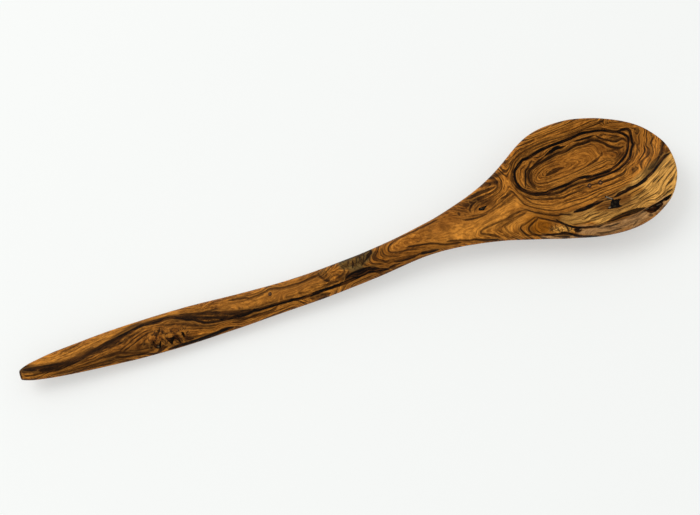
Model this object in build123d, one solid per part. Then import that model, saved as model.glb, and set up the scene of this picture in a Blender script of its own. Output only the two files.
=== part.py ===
from build123d import *
from build123d.topology import SkipClean
import math
import os

# A wooden spoon carved from one piece of olive wood, in millimetres.
# X runs along the spoon to the bowl's nose, +Z is up, and the origin is on the table,
# in the middle of the flat spot that the bowl rests on.

# Lengths along the spoon
bowl_front = 39.2        # from the origin to the nose
flare_length = 120.0     # from the middle of the bowl back to the thinnest part of the neck
neck_length = 93.0       # from there to the widest part of the grip
grip_length = 70.0       # from there to the end of the handle

# Widths, thicknesses and heights
bowl_width = 64.2
neck_width = 13.75
grip_width = 18.2
tip_width = 4.4
bowl_height = 18.0
neck_thickness = 9.6
grip_thickness = 9.4
tip_thickness = 3.2
arch_lift = 5.5          # how high the neck stands over the table
tip_lift = 7.1           # how high the end of the handle turns up
sway = 8.3               # how far the handle bends to the near side

# The wood left round the hollow of the bowl and under it
rim_front = 1.9
rim_near = 4.3
rim_far = 1.4
floor_thickness = 6.0
rim_rounding = 0.7

# Filled knots, knot ends and bark, each let flush into the wood
star_fill_size = 10.0
star_fill_depth = 3.0
neck_fill_length = 5.0
neck_fill_width = 2.4
neck_fill_depth = 3.0
pin_knot_diameter = 1.9
pin_knot_depth = 2.8
bark_pocket_size = 5.0
bark_pocket_depth = 2.0
rim_bark_length = 13.0
rim_bark_depth = 2.4

overrun = 2.0            # how far a cutting tool stands out of the wood

# The widest line of a section, as a share of its height
handle_girdle_share = 0.5
bowl_girdle_share = 0.78

# How square the halves of a section are: 2 is an ellipse
handle_crown_share = 2.2
bowl_crown_share = 3.4
keel_share = 2.1
section_points = 16

# Sections from the end of the handle to the grip, as shares:
# along, width, thickness, lift of the underside, bend to the near side
grip_shares = [
    (0.00, 0.00, 0.00, 1.00, 0.94),
    (0.03, 0.13, 0.30, 0.85, 0.92),
    (0.07, 0.26, 0.47, 0.72, 0.90),
    (0.13, 0.38, 0.58, 0.62, 0.89),
    (0.21, 0.52, 0.66, 0.52, 0.87),
    (0.33, 0.65, 0.76, 0.39, 0.86),
    (0.47, 0.77, 0.86, 0.25, 0.85),
    (0.61, 0.87, 0.92, 0.15, 0.84),
    (0.76, 0.95, 0.97, 0.07, 0.85),
    (0.90, 0.99, 0.99, 0.02, 0.86),
]

# From the grip to the thinnest part of the neck
neck_shares = [
    (0.00, 0.00, 0.00, -0.01, 0.87),
    (0.14, 0.10, 0.10, -0.03, 0.89),
    (0.25, 0.30, 0.20, -0.03, 0.92),
    (0.35, 0.48, 0.30, 0.02, 0.96),
    (0.46, 0.69, 0.45, 0.06, 0.98),
    (0.57, 0.86, 0.60, 0.12, 1.00),
    (0.68, 0.94, 0.75, 0.18, 1.00),
    (0.79, 0.97, 0.85, 0.26, 0.98),
    (0.89, 0.99, 0.95, 0.36, 0.93),
]

# From the neck out to the middle of the bowl
flare_shares = [
    (0.000, 0.000, 0.00, 0.47, 0.87),
    (0.083, 0.001, 0.01, 0.59, 0.78),
    (0.167, 0.004, 0.02, 0.71, 0.65),
    (0.250, 0.022, 0.04, 0.84, 0.53),
    (0.333, 0.066, 0.06, 0.93, 0.45),
    (0.400, 0.128, 0.10, 0.98, 0.39),
    (0.467, 0.203, 0.15, 1.00, 0.34),
    (0.533, 0.294, 0.22, 0.97, 0.27),
    (0.583, 0.378, 0.30, 0.90, 0.20),
    (0.633, 0.481, 0.41, 0.79, 0.12),
    (0.683, 0.594, 0.545, 0.64, 0.01),
    (0.733, 0.711, 0.674, 0.47, -0.11),
    (0.783, 0.820, 0.796, 0.30, -0.19),
    (0.833, 0.899, 0.899, 0.15, -0.22),
    (0.883, 0.954, 0.987, 0.02, -0.18),
    (0.933, 0.985, 1.039, -0.06, -0.12),
]

# From the middle of the bowl to the nose: along, width, top, underside, bend
front_shares = [
    (0.000, 0.995, 1.000, -0.030, -0.03),
    (0.153, 0.975, 1.000, -0.018, 0.06),
    (0.306, 0.935, 1.000, 0.015, 0.13),
    (0.459, 0.868, 0.998, 0.055, 0.19),
    (0.587, 0.790, 0.995, 0.110, 0.21),
    (0.689, 0.710, 0.992, 0.175, 0.23),
    (0.765, 0.635, 0.988, 0.235, 0.24),
    (0.842, 0.530, 0.980, 0.310, 0.25),
    (0.893, 0.440, 0.970, 0.380, 0.26),
    (0.939, 0.340, 0.955, 0.460, 0.26),
    (0.969, 0.250, 0.930, 0.540, 0.23),
    (0.990, 0.155, 0.890, 0.620, 0.17),
]
nose_bend_share = 0.13

# Where the long surface is parted into shorter faces, from the end of the handle
# to the origin, so that a mesh follows the wood closely all along
face_break_shares = [0.15, 0.31, 0.42, 0.53, 0.61, 0.69, 0.76, 0.83]

# The hollow's edge in plan: along as a share of its back or front reach,
# across as a share of its near or far reach
hollow_edge_shares = [
    (-1.000, 0.12), (-0.980, -0.07), (-0.940, -0.24), (-0.830, -0.44), (-0.670, -0.67),
    (-0.470, -0.88), (-0.250, -0.98), (-0.060, -1.00), (0.270, -0.93), (0.600, -0.84),
    (0.830, -0.68), (0.960, -0.37), (1.000, -0.03), (0.950, 0.30), (0.800, 0.55),
    (0.560, 0.75), (0.270, 0.89), (0.000, 0.98), (-0.200, 1.00), (-0.560, 0.92),
    (-0.820, 0.74), (-0.945, 0.46),
]
hollow_edge_level_share = 0.955      # of the bowl's height
hollow_back_share = 0.34             # of the flare's length
hollow_roundness_share = 0.36
hollow_level_shares = [-0.25, 0.0, 0.25, 0.50, 0.70, 0.85, 0.95, 0.99]

# From the origin to the hollow's edge on each side, and its depth
hollow_back = hollow_back_share * flare_length
hollow_front = bowl_front - rim_front
hollow_near = bowl_width / 2 - rim_near
hollow_far = bowl_width / 2 - rim_far
hollow_depth = hollow_edge_level_share * bowl_height - floor_thickness

# Places on the wood: along the named stretch, and across from the middle line to the edge
star_fill_place_shares = (0.105, -0.430)
bowl_pin_place_shares = [(0.100, -0.030), (-0.043, -0.020)]
rim_bark_place_shares = (0.580, -0.920)
neck_fill_place_shares = (0.485, 0.155)
handle_pin_place_shares = (0.490, 0.150)
bark_pocket_place_shares = [(0.112, -0.680), (0.012, -0.640), (-0.066, -0.600)]

# Outlines round those places, as shares of each one's size
star_fill_outline_shares = [
    (-0.17, 0.51), (-0.08, 0.50), (0.02, 0.39), (0.14, 0.27), (0.30, 0.12), (0.49, 0.06),
    (0.35, -0.07), (0.24, -0.23), (0.27, -0.42), (0.10, -0.44), (-0.04, -0.41),
    (-0.35, -0.33), (-0.41, -0.26), (-0.28, -0.17), (-0.16, -0.10), (-0.06, 0.07),
    (0.00, 0.18), (-0.08, 0.30), (-0.15, 0.40),
]
neck_fill_outline_shares = [
    (-0.34, 0.38), (-0.12, 0.30), (0.20, 0.38), (0.56, 0.25), (0.26, -0.17),
    (0.06, -0.50), (-0.16, -0.46), (-0.46, -0.21),
]
bark_pocket_outline_shares = [
    [(-0.36, 0.34), (-0.28, 0.00), (-0.06, -0.18), (0.20, -0.24), (0.28, -0.04),
     (0.20, 0.16), (0.04, -0.02), (-0.12, 0.08)],
    [(-0.46, 0.22), (-0.18, 0.28), (0.18, 0.22), (0.50, 0.04), (0.48, -0.20),
     (0.14, -0.10), (-0.26, -0.24), (-0.38, -0.06)],
    [(-0.10, 0.24), (0.06, 0.18), (0.18, -0.06), (0.06, -0.22), (-0.04, -0.04)],
]

rim_bark_outline_shares = [
    (0.485, 0.223), (0.262, 0.046), (-0.085, -0.108), (-0.346, -0.215), (-0.500, -0.208),
    (-0.485, -0.115), (-0.323, -0.023), (-0.008, 0.046), (0.231, 0.146),
]


def lerp(first, last, share):
    """The value that lies this share of the way from first to last."""
    return first + share * (last - first)


def handle_station(x, width, thickness, underside, bend, toward_bowl=0):
    """One section of the handle, turning into the bowl's as toward_bowl grows to 1."""
    middle = underside + handle_girdle_share * thickness
    return {
        "x": x,
        "y": -bend * sway,
        "width": width,
        "underside": underside,
        "girdle": lerp(middle, bowl_girdle_share * bowl_height, toward_bowl),
        "top": underside + thickness,
        "crown": lerp(handle_crown_share, bowl_crown_share, toward_bowl),
    }


def body_stations():
    """Every section of the spoon in order, from the end of the handle to the nose."""
    neck_x = -flare_length
    grip_x = neck_x - neck_length
    tip_x = grip_x - grip_length
    stations = []
    for along, wide, thick, lift, bend in grip_shares:
        stations.append(handle_station(
            lerp(tip_x, grip_x, along), lerp(tip_width, grip_width, wide),
            lerp(tip_thickness, grip_thickness, thick), lift * tip_lift, bend))
    for along, wide, thick, lift, bend in neck_shares:
        stations.append(handle_station(
            lerp(grip_x, neck_x, along), lerp(grip_width, neck_width, wide),
            lerp(grip_thickness, neck_thickness, thick), lift * arch_lift, bend))
    for along, wide, thick, lift, bend in flare_shares:
        stations.append(handle_station(
            lerp(neck_x, 0, along), lerp(neck_width, bowl_width, wide),
            lerp(neck_thickness, bowl_height, thick), lift * arch_lift, bend, wide))
    for along, wide, top, underside, bend in front_shares:
        stations.append({
            "x": along * bowl_front,
            "y": -bend * sway,
            "width": wide * bowl_width,
            "underside": underside * bowl_height,
            "girdle": bowl_girdle_share * bowl_height,
            "top": top * bowl_height,
            "crown": bowl_crown_share,
        })
    return stations


def places_round(station):
    """Points on the closed curve round the spoon at one station."""
    points = []
    for step in range(section_points):
        angle = 2 * math.pi * step / section_points
        across, up = math.cos(angle), math.sin(angle)
        if up > 0:
            power, height = 2 / station["crown"], station["top"] - station["girdle"]
        else:
            power, height = 2 / keel_share, station["girdle"] - station["underside"]
        out = math.copysign(abs(across) ** power, across) * station["width"] / 2
        rise = math.copysign(abs(up) ** power, up) * height
        points.append(Vector(station["x"], station["y"] + out, station["girdle"] + rise))
    return points


def shared_pace(stations):
    """How far round each point of a section lies, as a share of its length, on average."""
    paces = []
    for station in stations:
        points = places_round(station)
        steps = [(after - point).length for point, after in zip(points, points[1:] + points[:1])]
        paces.append([sum(steps[:count]) / sum(steps) for count in range(len(steps) + 1)])
    return [sum(shares) / len(shares) for shares in zip(*paces)]


def hollow_outline(level_share):
    """The egg-shaped outline of the hollow, this share of its depth below the edge."""
    size = (1 - level_share) ** hollow_roundness_share
    z = hollow_edge_level_share * bowl_height - level_share * hollow_depth
    points = []
    for along, across in hollow_edge_shares:
        reach = hollow_front if along > 0 else hollow_back
        spread = hollow_far if across > 0 else hollow_near
        points.append((along * reach * size, across * spread * size, z))
    return Wire([Spline(*points, periodic=True)])


def hollow():
    """The scooped space of the bowl, standing out above the rim."""
    outlines = [hollow_outline(share) for share in hollow_level_shares]
    floor = Vertex(0, 0, hollow_edge_level_share * bowl_height - hollow_depth)
    return Solid.make_loft(outlines + [floor])


def whole_spoon(stations):
    """The carved wood before any inlay: shaped, ground flat, hollowed, its edge eased."""
    nose = Vertex(bowl_front, -nose_bend_share * sway, bowl_girdle_share * bowl_height)
    pace = shared_pace(stations)
    sections = [
        Wire([Edge.make_spline(places_round(station), periodic=True, parameters=pace)])
        for station in stations]
    blank = Solid.make_loft(sections + [nose])
    table = Box(
        2 * (flare_length + neck_length + grip_length), 2 * bowl_width, 2 * bowl_height,
        align=(Align.CENTER, Align.CENTER, Align.MAX))
    carved = blank - table - hollow()
    girdle = bowl_girdle_share * bowl_height
    rim_edges = [edge for edge in carved.edges() if edge.bounding_box().min.Z > girdle]
    return fillet(rim_edges, rim_rounding)


def parted(wood):
    """The same single piece of wood, its long surface parted into shorter faces."""
    tip_x = -(flare_length + neck_length + grip_length)
    rest = wood.solid()
    lengths = []
    with SkipClean():
        for share in face_break_shares:
            plane = Plane.YZ.offset(lerp(tip_x, 0, share))
            halves = rest.split(plane, keep=Keep.BOTH)
            length, rest = sorted(halves, key=lambda half: half.bounding_box().min.X)
            lengths.append(length)
        return rest.fuse(*lengths)


def top_place(stations, x, across_share):
    """The place on the uncut wood's top, across_share from the middle line to the edge."""
    for back, front in zip(stations, stations[1:]):
        if back["x"] <= x <= front["x"]:
            share = (x - back["x"]) / (front["x"] - back["x"])
            here = {key: lerp(back[key], front[key], share) for key in back}
            crown = here["crown"]
            rise = (1 - abs(across_share) ** crown) ** (1 / crown)
            y = here["y"] + across_share * here["width"] / 2
            return Vector(x, y, lerp(here["girdle"], here["top"], rise))


def hollow_place(stations, x, across_share):
    """The place on the hollow's floor under the same place of the uncut wood."""
    above = top_place(stations, x, across_share)
    reach = hollow_front if x > 0 else hollow_back
    spread = hollow_far if above.Y > 0 else hollow_near
    size = math.hypot(x / reach, above.Y / spread)
    level_share = 1 - size ** (1 / hollow_roundness_share)
    z = hollow_edge_level_share * bowl_height - level_share * hollow_depth
    return Vector(x, above.Y, z)


def pocket(place, outline, depth):
    """A cutter for a pocket of this outline, reaching this deep under its place."""
    return extrude(Pos(place.X, place.Y, place.Z - depth) * outline, bowl_height + overrun)


def drawn(shares, length, width):
    """A rounded outline through shares of a length and a width."""
    return make_face(Spline(*[(x * length, y * width) for x, y in shares], periodic=True))


def inlays(stations):
    """The cutters for everything that is let into the wood, by node name."""
    neck_x = -flare_length
    grip_x = neck_x - neck_length
    star_along, star_across = star_fill_place_shares
    star = pocket(
        hollow_place(stations, star_along * bowl_front, star_across),
        drawn(star_fill_outline_shares, star_fill_size, star_fill_size), star_fill_depth)
    bowl_pins = [
        pocket(hollow_place(stations, along * bowl_front, across),
               Circle(pin_knot_diameter / 2), pin_knot_depth)
        for along, across in bowl_pin_place_shares]
    rim_along, rim_across = rim_bark_place_shares
    rim_bark = pocket(
        top_place(stations, rim_along * bowl_front, rim_across),
        drawn(rim_bark_outline_shares, rim_bark_length, rim_bark_length), rim_bark_depth)
    fill_along, fill_across = neck_fill_place_shares
    neck_fill = pocket(
        top_place(stations, fill_along * neck_x, fill_across),
        drawn(neck_fill_outline_shares, neck_fill_length, neck_fill_width), neck_fill_depth)
    pin_along, pin_across = handle_pin_place_shares
    handle_pin = pocket(
        top_place(stations, lerp(neck_x, grip_x, pin_along), pin_across),
        Circle(pin_knot_diameter / 2), pin_knot_depth)
    bark_pockets = [
        pocket(top_place(stations, grip_x - along * grip_length, across),
               drawn(outline, bark_pocket_size, bark_pocket_size), bark_pocket_depth)
        for (along, across), outline
        in zip(bark_pocket_place_shares, bark_pocket_outline_shares)]
    return {
        "bowl_knot_fill": [star],
        "bowl_pin_knots": bowl_pins,
        "rim_bark_pocket": [rim_bark],
        "neck_knot_fill": [neck_fill],
        "handle_pin_knot": [handle_pin],
        "handle_bark_pockets": bark_pockets,
    }


def build():
    """Every node of the spoon by name."""
    stations = body_stations()
    wood = whole_spoon(stations)
    cutters = inlays(stations)
    body = wood - [cutter for group in cutters.values() for cutter in group]
    nodes = {"spoon_body": parted(body)}
    for name, group in cutters.items():
        fills = [wood & cutter for cutter in group]
        nodes[name] = Compound(children=fills) if len(fills) > 1 else fills[0]
    return nodes


os.makedirs("parts", exist_ok=True)
for name, shape in build().items():
    export_step(shape, f"parts/{name}.step")
    box = shape.bounding_box()
    print(name, round(shape.volume, 1), box.min, box.max)
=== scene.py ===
import math

import bpy
import numpy as np
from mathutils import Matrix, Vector, noise
from mathutils.bvhtree import BVHTree
from mathutils.geometry import delaunay_2d_cdt


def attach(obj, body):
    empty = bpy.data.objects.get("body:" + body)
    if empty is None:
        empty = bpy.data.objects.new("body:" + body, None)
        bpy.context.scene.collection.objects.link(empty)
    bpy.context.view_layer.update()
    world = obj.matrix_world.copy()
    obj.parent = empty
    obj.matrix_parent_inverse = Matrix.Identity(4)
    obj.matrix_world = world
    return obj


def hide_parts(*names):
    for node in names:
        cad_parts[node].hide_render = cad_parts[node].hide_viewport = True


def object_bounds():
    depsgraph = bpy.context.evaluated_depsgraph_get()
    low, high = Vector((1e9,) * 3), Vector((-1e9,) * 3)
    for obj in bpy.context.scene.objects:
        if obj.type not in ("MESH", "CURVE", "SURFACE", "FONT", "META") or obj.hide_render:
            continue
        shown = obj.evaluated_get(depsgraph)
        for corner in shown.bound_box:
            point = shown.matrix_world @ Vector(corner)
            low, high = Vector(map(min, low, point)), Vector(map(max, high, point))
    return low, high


# An olive wood cooking spoon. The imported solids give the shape, and this script dresses them:
# a fine skin with the wood's figure on it, and the filled knots, pins and bark let into it.
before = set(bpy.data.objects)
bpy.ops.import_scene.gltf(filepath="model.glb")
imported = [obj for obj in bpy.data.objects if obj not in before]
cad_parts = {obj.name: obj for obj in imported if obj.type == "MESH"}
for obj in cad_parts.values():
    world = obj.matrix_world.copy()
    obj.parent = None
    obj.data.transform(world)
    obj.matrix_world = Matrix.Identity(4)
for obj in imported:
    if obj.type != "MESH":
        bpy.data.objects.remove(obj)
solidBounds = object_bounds()
print("frame loaded")

# The photograph's view
# Pixel places below are places in the 700 x 515 photograph; a ray through them finds the wood.
photoView = {
    "target": (-0.122987, 0.003146, 0.0),
    "azimuth": -18.991,      # degrees round from the near side
    "elevation": 65.0,
    "distance": 0.580,
    "lens": 62.647,
    "sensor": 36.0,
    "width": 700,
    "height": 515,
    "nearest": 0.01,         # metres, where the camera begins to see
}


def viewAxes():
    turn, lift = math.radians(photoView["azimuth"]), math.radians(photoView["elevation"])
    right = np.array([math.cos(turn), math.sin(turn), 0.0])
    back = np.array([math.sin(turn) * math.cos(lift), -math.cos(turn) * math.cos(lift), math.sin(lift)])
    return right, np.cross(back, right), back


rightAxis, upAxis, backAxis = viewAxes()
eyePoint = np.array(photoView["target"]) + photoView["distance"] * backAxis
pixelFocus = photoView["lens"] / photoView["sensor"] * photoView["width"]


def toPhoto(points):
    # where points in metres fall in the photograph, in pixels
    ray = points - eyePoint
    depth = -ray @ backAxis
    across = photoView["width"] / 2 + pixelFocus * (ray @ rightAxis) / depth
    down = photoView["height"] / 2 - pixelFocus * (ray @ upAxis) / depth
    return np.stack([across, down], 1)


def photoRay(pixel):
    across = (pixel[0] - photoView["width"] / 2) / pixelFocus
    down = (photoView["height"] / 2 - pixel[1]) / pixelFocus
    return Vector(across * rightAxis + down * upAxis - backAxis).normalized()


def addObject(name, data):
    made = bpy.data.objects.new(name, data)
    bpy.context.scene.collection.objects.link(made)
    return made


def addCamera():
    camera = addObject("photoCamera", bpy.data.cameras.new("photoCamera"))
    camera.data.lens = photoView["lens"]
    camera.data.sensor_width = photoView["sensor"]
    camera.data.clip_start = photoView["nearest"]
    camera.location = eyePoint
    camera.rotation_euler = Vector(backAxis).to_track_quat("Z", "Y").to_euler()
    bpy.context.scene.camera = camera


addCamera()
print("camera placed")


# Shader helpers
def addNode(tree, kind, **values):
    made = tree.nodes.new("ShaderNode" + kind)
    for name, value in values.items():
        setattr(made, name, value)
    return made


def feed(tree, socket, value):
    # a socket takes another node's output, a number or a colour
    if isinstance(value, bpy.types.NodeSocket):
        tree.links.new(value, socket)
    elif socket.type == "RGBA":
        socket.default_value = (*value, 1)
    else:
        socket.default_value = value


def worked(tree, operation, *values, clamp=False):
    made = addNode(tree, "Math", operation=operation, use_clamp=clamp)
    for socket, value in zip(made.inputs, values):
        feed(tree, socket, value)
    return made.outputs[0]


def times(tree, product, *values):
    for value in values:
        product = worked(tree, "MULTIPLY", product, value)
    return product


def lessWhere(tree, mask, share):
    # 1 where the mask is 0, and less by the share where it is 1
    return worked(tree, "MULTIPLY_ADD", mask, -share, 1.0)


def between(tree, value, low, high, soft="SMOOTHSTEP"):
    # 0 under low, 1 over high
    made = addNode(tree, "MapRange", interpolation_type=soft)
    for name, number in (("Value", value), ("From Min", low), ("From Max", high)):
        feed(tree, made.inputs[name], number)
    return made.outputs["Result"]


def tinted(tree, share, under, over, blend="MIX"):
    made = addNode(tree, "Mix", data_type="RGBA", blend_type=blend)
    for place, value in ((0, share), (6, under), (7, over)):
        feed(tree, made.inputs[place], value)
    return made.outputs[2]


def scaled(tree, place, factors):
    made = addNode(tree, "VectorMath", operation="MULTIPLY")
    feed(tree, made.inputs[0], place)
    made.inputs[1].default_value = factors
    return made.outputs[0]


def noised(tree, place, scale, detail=2.0, rough=0.5, dimensions="3D", distortion=0.0):
    made = addNode(tree, "TexNoise", noise_dimensions=dimensions)
    feed(tree, made.inputs["W" if dimensions == "1D" else "Vector"], place)
    settings = {"Scale": scale, "Detail": detail, "Roughness": rough, "Distortion": distortion}
    for name, value in settings.items():
        feed(tree, made.inputs[name], value)
    return made.outputs["Fac"]


def patterned(tree, place, look, dimensions="3D", soft="SMOOTHSTEP"):
    # noise turned into a mask: its scale, detail and roughness, where it begins and where it is full
    scale, detail, rough, low, high = look
    return between(tree, noised(tree, place, scale, detail, rough, dimensions), low, high, soft)


def newMaterial(name):
    material = bpy.data.materials.new(name)
    material.use_nodes = True
    tree = material.node_tree
    return material, tree, tree.nodes["Principled BSDF"]


def cameraSees(tree, share, others, camera, output):
    # what only the camera's own rays see, mixed over what all others do
    pick = addNode(tree, "MixShader")
    seen = times(tree, addNode(tree, "LightPath").outputs["Is Camera Ray"], share)
    for socket, value in zip(pick.inputs, (seen, others.outputs[0], camera.outputs[0])):
        tree.links.new(value, socket)
    tree.links.new(pick.outputs[0], tree.nodes[output].inputs["Surface"])


# Floor and light
studio = {
    "floorColour": (0.903, 0.914, 0.895),
    "floorRoughness": 0.9,
    "floorReach": 4.0,
    "floorDrop": 0.00005,
    "paper": (0.988, 1.0, 0.988),
    "paperShare": 0.42,      # how much of the floor the camera sees as plain white paper
    "skyColour": (0.94, 0.95, 0.95),
    "skyLevel": 0.76,
    "keyPlace": (-1.25, 0.95, 1.75),
    "keySize": 1.5,
    "keyPower": 22.0,
}


def addFloor():
    reach, low = studio["floorReach"], -studio["floorDrop"]
    corners = [(-reach, -reach, low), (reach, -reach, low), (reach, reach, low), (-reach, reach, low)]
    mesh = bpy.data.meshes.new("studioFloor")
    mesh.from_pydata(corners, [], [(0, 1, 2, 3)])
    paint, tree, surface = newMaterial("studioPaint")
    feed(tree, surface.inputs["Base Color"], studio["floorColour"])
    surface.inputs["Roughness"].default_value = studio["floorRoughness"]
    surface.inputs["Specular IOR Level"].default_value = 0.0
    paper = addNode(tree, "Emission")
    feed(tree, paper.inputs["Color"], studio["paper"])
    cameraSees(tree, studio["paperShare"], surface, paper, "Material Output")
    mesh.materials.append(paint)
    floor = addObject("studioFloor", mesh)


def addLight():
    world = bpy.data.worlds.new("studioWorld")
    bpy.context.scene.world = world
    world.use_nodes = True
    tree = world.node_tree
    sky, backdrop = tree.nodes["Background"], addNode(tree, "Background")
    sky.inputs["Strength"].default_value = studio["skyLevel"]
    for light in (sky, backdrop):
        feed(tree, light.inputs["Color"], studio["skyColour"])
    cameraSees(tree, 1.0, sky, backdrop, "World Output")
    key = addObject("softKey", bpy.data.lights.new("softKey", "AREA"))
    key.data.shape = "SQUARE"
    key.data.size = studio["keySize"]
    key.data.energy = studio["keyPower"]
    key.location = Vector(studio["keyPlace"]) + Vector(photoView["target"])
    key.rotation_euler = Vector(studio["keyPlace"]).to_track_quat("Z", "Y").to_euler()
    bpy.context.scene.view_settings.view_transform = "Standard"


addFloor()
addLight()
print("studio built")

# The wood's skin
woodSkin = {
    "fineness": 0.00045,     # metres between the points of the mesh
    "smoothing": 3,
    "easing": 0.5,
    "hiddenFrom": 0.0006,    # metres behind the wood in sight, where the photograph's lines fade out
    "hiddenOver": 0.0025,
    "zoneFade": 0.6,         # how much of the colour zones goes there
    "burrDepth": 0.00035,
    "burrScale": 900,
    "toolMarks": 0.00006,    # how deep the carver's last passes still show
    "toolScale": (56, 160, 160),
    "veinDepth": 0.00003,
    "veinFrom": 0.3,         # where in a vein's field its groove begins
}


def joinedSolids():
    # the wood and everything let into it, as one mesh
    places, faces = [], []
    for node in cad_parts.values():
        start = len(places)
        places.extend(vertex.co[:] for vertex in node.data.vertices)
        faces.extend([start + corner for corner in face.vertices] for face in node.data.polygons)
    mesh = bpy.data.meshes.new("oliveWood")
    mesh.from_pydata(places, [], faces)
    return mesh


def vertexValues(mesh, kind):
    flat = np.empty(len(mesh.vertices) * 3)
    mesh.vertices.foreach_get(kind, flat)
    return flat.reshape(-1, 3)


def movePoints(mesh, points):
    mesh.vertices.foreach_set("co", np.clip(points, *np.array(solidBounds)).ravel())
    mesh.update()


def smoothShaded(mesh):
    mesh.polygons.foreach_set("use_smooth", [True] * len(mesh.polygons))


def addSkin():
    skin = addObject("oliveWood", joinedSolids())
    remesh = skin.modifiers.new("fine", "REMESH")
    remesh.mode = "VOXEL"
    remesh.voxel_size = woodSkin["fineness"]
    ease = skin.modifiers.new("ease", "SMOOTH")
    ease.factor = woodSkin["easing"]
    ease.iterations = woodSkin["smoothing"]
    fine = bpy.data.meshes.new_from_object(skin.evaluated_get(bpy.context.evaluated_depsgraph_get()))
    skin.modifiers.clear()
    skin.data = fine
    fine.name = "oliveWood"
    smoothShaded(fine)
    movePoints(fine, vertexValues(fine, "co"))
    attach(skin, "root")
    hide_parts("spoon_body")
    return skin


skin = addSkin()
skinTree = BVHTree.FromObject(skin, bpy.context.evaluated_depsgraph_get())
print("wood skin:", len(skin.data.polygons), "faces")

# The grain that shows, traced line by line, and painted shade along the near rim's edge
# Each line: its growth ring (None for a mark of its own), its width in pixels, how dark it is,
# and the pixels that it runs through.
bowlRings = [
    (30, 3, 0.9, [(595, 131.5), (581, 133.5), (569, 139), (544, 148.5), (528, 158), (522.5, 160),
        (519.5, 164), (514.5, 172), (515.5, 181), (521, 188.5), (531, 193), (545, 193), (550, 191),
        (567, 184.5), (578.5, 178.5), (595, 175.5)]),
    (30, 2.6, 0.9, [(585, 133), (600, 130.5), (612, 131.5), (619, 132), (625.5, 135), (628, 138), (628, 143),
        (627, 151), (622.5, 159.5), (610, 170), (585, 179)]),
    (33, 2.4, 0.85, [(616, 131.5), (625, 129), (629, 130), (630.5, 132.5), (632, 141.5), (633, 144.5),
        (631.5, 149), (629.5, 158), (622, 166.5), (611, 173), (585, 181.5)]),
    (33, 2, 0.75, [(595, 180), (584.5, 182), (569.5, 187), (564, 190.5), (558, 193), (550, 194.5),
        (541.5, 194.5), (534.5, 195), (528.5, 193.5), (518, 188), (514.5, 184)]),
    (27, 2, 0.8, [(596, 134.5), (597.5, 137), (606, 140), (616, 141), (623, 138.5), (627.5, 143)]),
    (27, 2.2, 0.85, [(595, 135), (587.5, 137.5), (575.5, 141), (573, 140.5)]),
    (27, 3.8, 0.9, [(565.5, 146), (561, 147.5), (555.5, 148.5), (544, 156.5)]),
    (27, 2.4, 0.75, [(544, 156.5), (530.5, 168.5)]),
    (20, 2.6, 0.75, [(585, 142.5), (589, 140.5), (593, 140), (602.5, 142.5), (610, 146.5), (619, 148),
        (624, 146)]),
    (20, 2.6, 0.8, [(595, 141), (591.5, 140), (582.5, 143.5), (575.5, 145), (567.5, 150), (561.5, 152.5),
        (555, 154.5), (533, 167.5), (528.5, 174.5), (530.5, 182.5), (537, 189.5)]),
    (24, 1.5, 0.75, [(532, 160), (528, 167.5), (525.5, 171), (525.5, 176.5), (525.5, 188)]),
    (20, 3, 0.45, [(532.5, 168.5), (530.5, 172.5), (530.5, 178), (532.5, 183), (536, 186.5)]),
    (10, 1.2, 0.5, [(534.5, 178), (535, 181.5), (538, 183.5), (549.5, 182), (568.5, 175), (587.5, 166),
        (595, 159)]),
    (8, 1, 0.35, [(543, 177), (550, 177), (586, 164)]),
    (14, 2.2, 0.7, [(600.5, 154.5), (599.5, 157), (594.5, 161.5), (585, 167.5)]),
    (0, 4.6, 0.72, [(545.5, 176.5), (548.5, 174), (559.5, 168.5), (564.5, 167.5)]),
    (6, 1.2, 0.35, [(536, 180), (537, 176), (545, 168), (561, 164)]),
    (4, 1, 0.3, [(564, 166), (568, 164), (572, 164), (571, 166), (567, 168)]),
    (17, 2, 0.5, [(601, 151), (602, 154.5), (600, 157)]),
    (18, 1.6, 0.5, [(607, 149), (608, 151), (616, 149.5), (620, 150)]),
    (18, 3.4, 0.4, [(622, 152), (620, 155), (617.5, 157)]),
    (22, 1.6, 0.55, [(624.5, 152), (613, 166)]),
    (24, 1, 0.4, [(603, 133), (607, 136), (611, 135), (615, 136), (620, 136)]),
    (12, 1, 0.3, [(600, 159), (611, 158), (616, 159)]),
    (24, 1.2, 0.35, [(609, 161), (612, 162), (612, 164), (609, 166)]),
]
farRimLines = [
    (38, 1, 0.45, [(511.5, 182.5), (511, 176.5), (515, 163), (524.5, 153), (548.5, 143), (567.5, 137),
        (574.5, 133.5)]),
    (41, 1.5, 0.55, [(510, 171), (513, 162), (522.5, 152.5), (546, 141.5), (568.5, 135), (595, 124.5)]),
    (41, 1.6, 0.6, [(585, 128), (594.5, 125), (602.5, 121), (605.5, 120)]),
    (37, 1.2, 0.45, [(585, 130), (602.5, 128.5), (609, 129.5)]),
    (48, 1.5, 0.65, [(515.5, 147.5), (536, 139)]),
    (48, 1.2, 0.5, [(536, 139), (581.5, 121), (595, 118.5)]),
    (48, 1.1, 0.45, [(605.5, 124), (610, 122.5), (621, 123)]),
    (56, 1.6, 0.55, [(528.5, 135), (549.5, 126.5)]),
    (56, 1.8, 0.6, [(551, 126), (564.5, 120.5)]),
    (57, 1.6, 0.6, [(616, 121), (624, 122)]),
    (45, 1, 0.35, [(524, 150), (550, 138), (558, 137)]),
]
bowlBackLines = [
    (37, 1, 0.35, [(514, 184), (513, 176), (514, 171)]),
    (44, 1.2, 0.4, [(508.5, 165), (514, 158)]),
]
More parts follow.
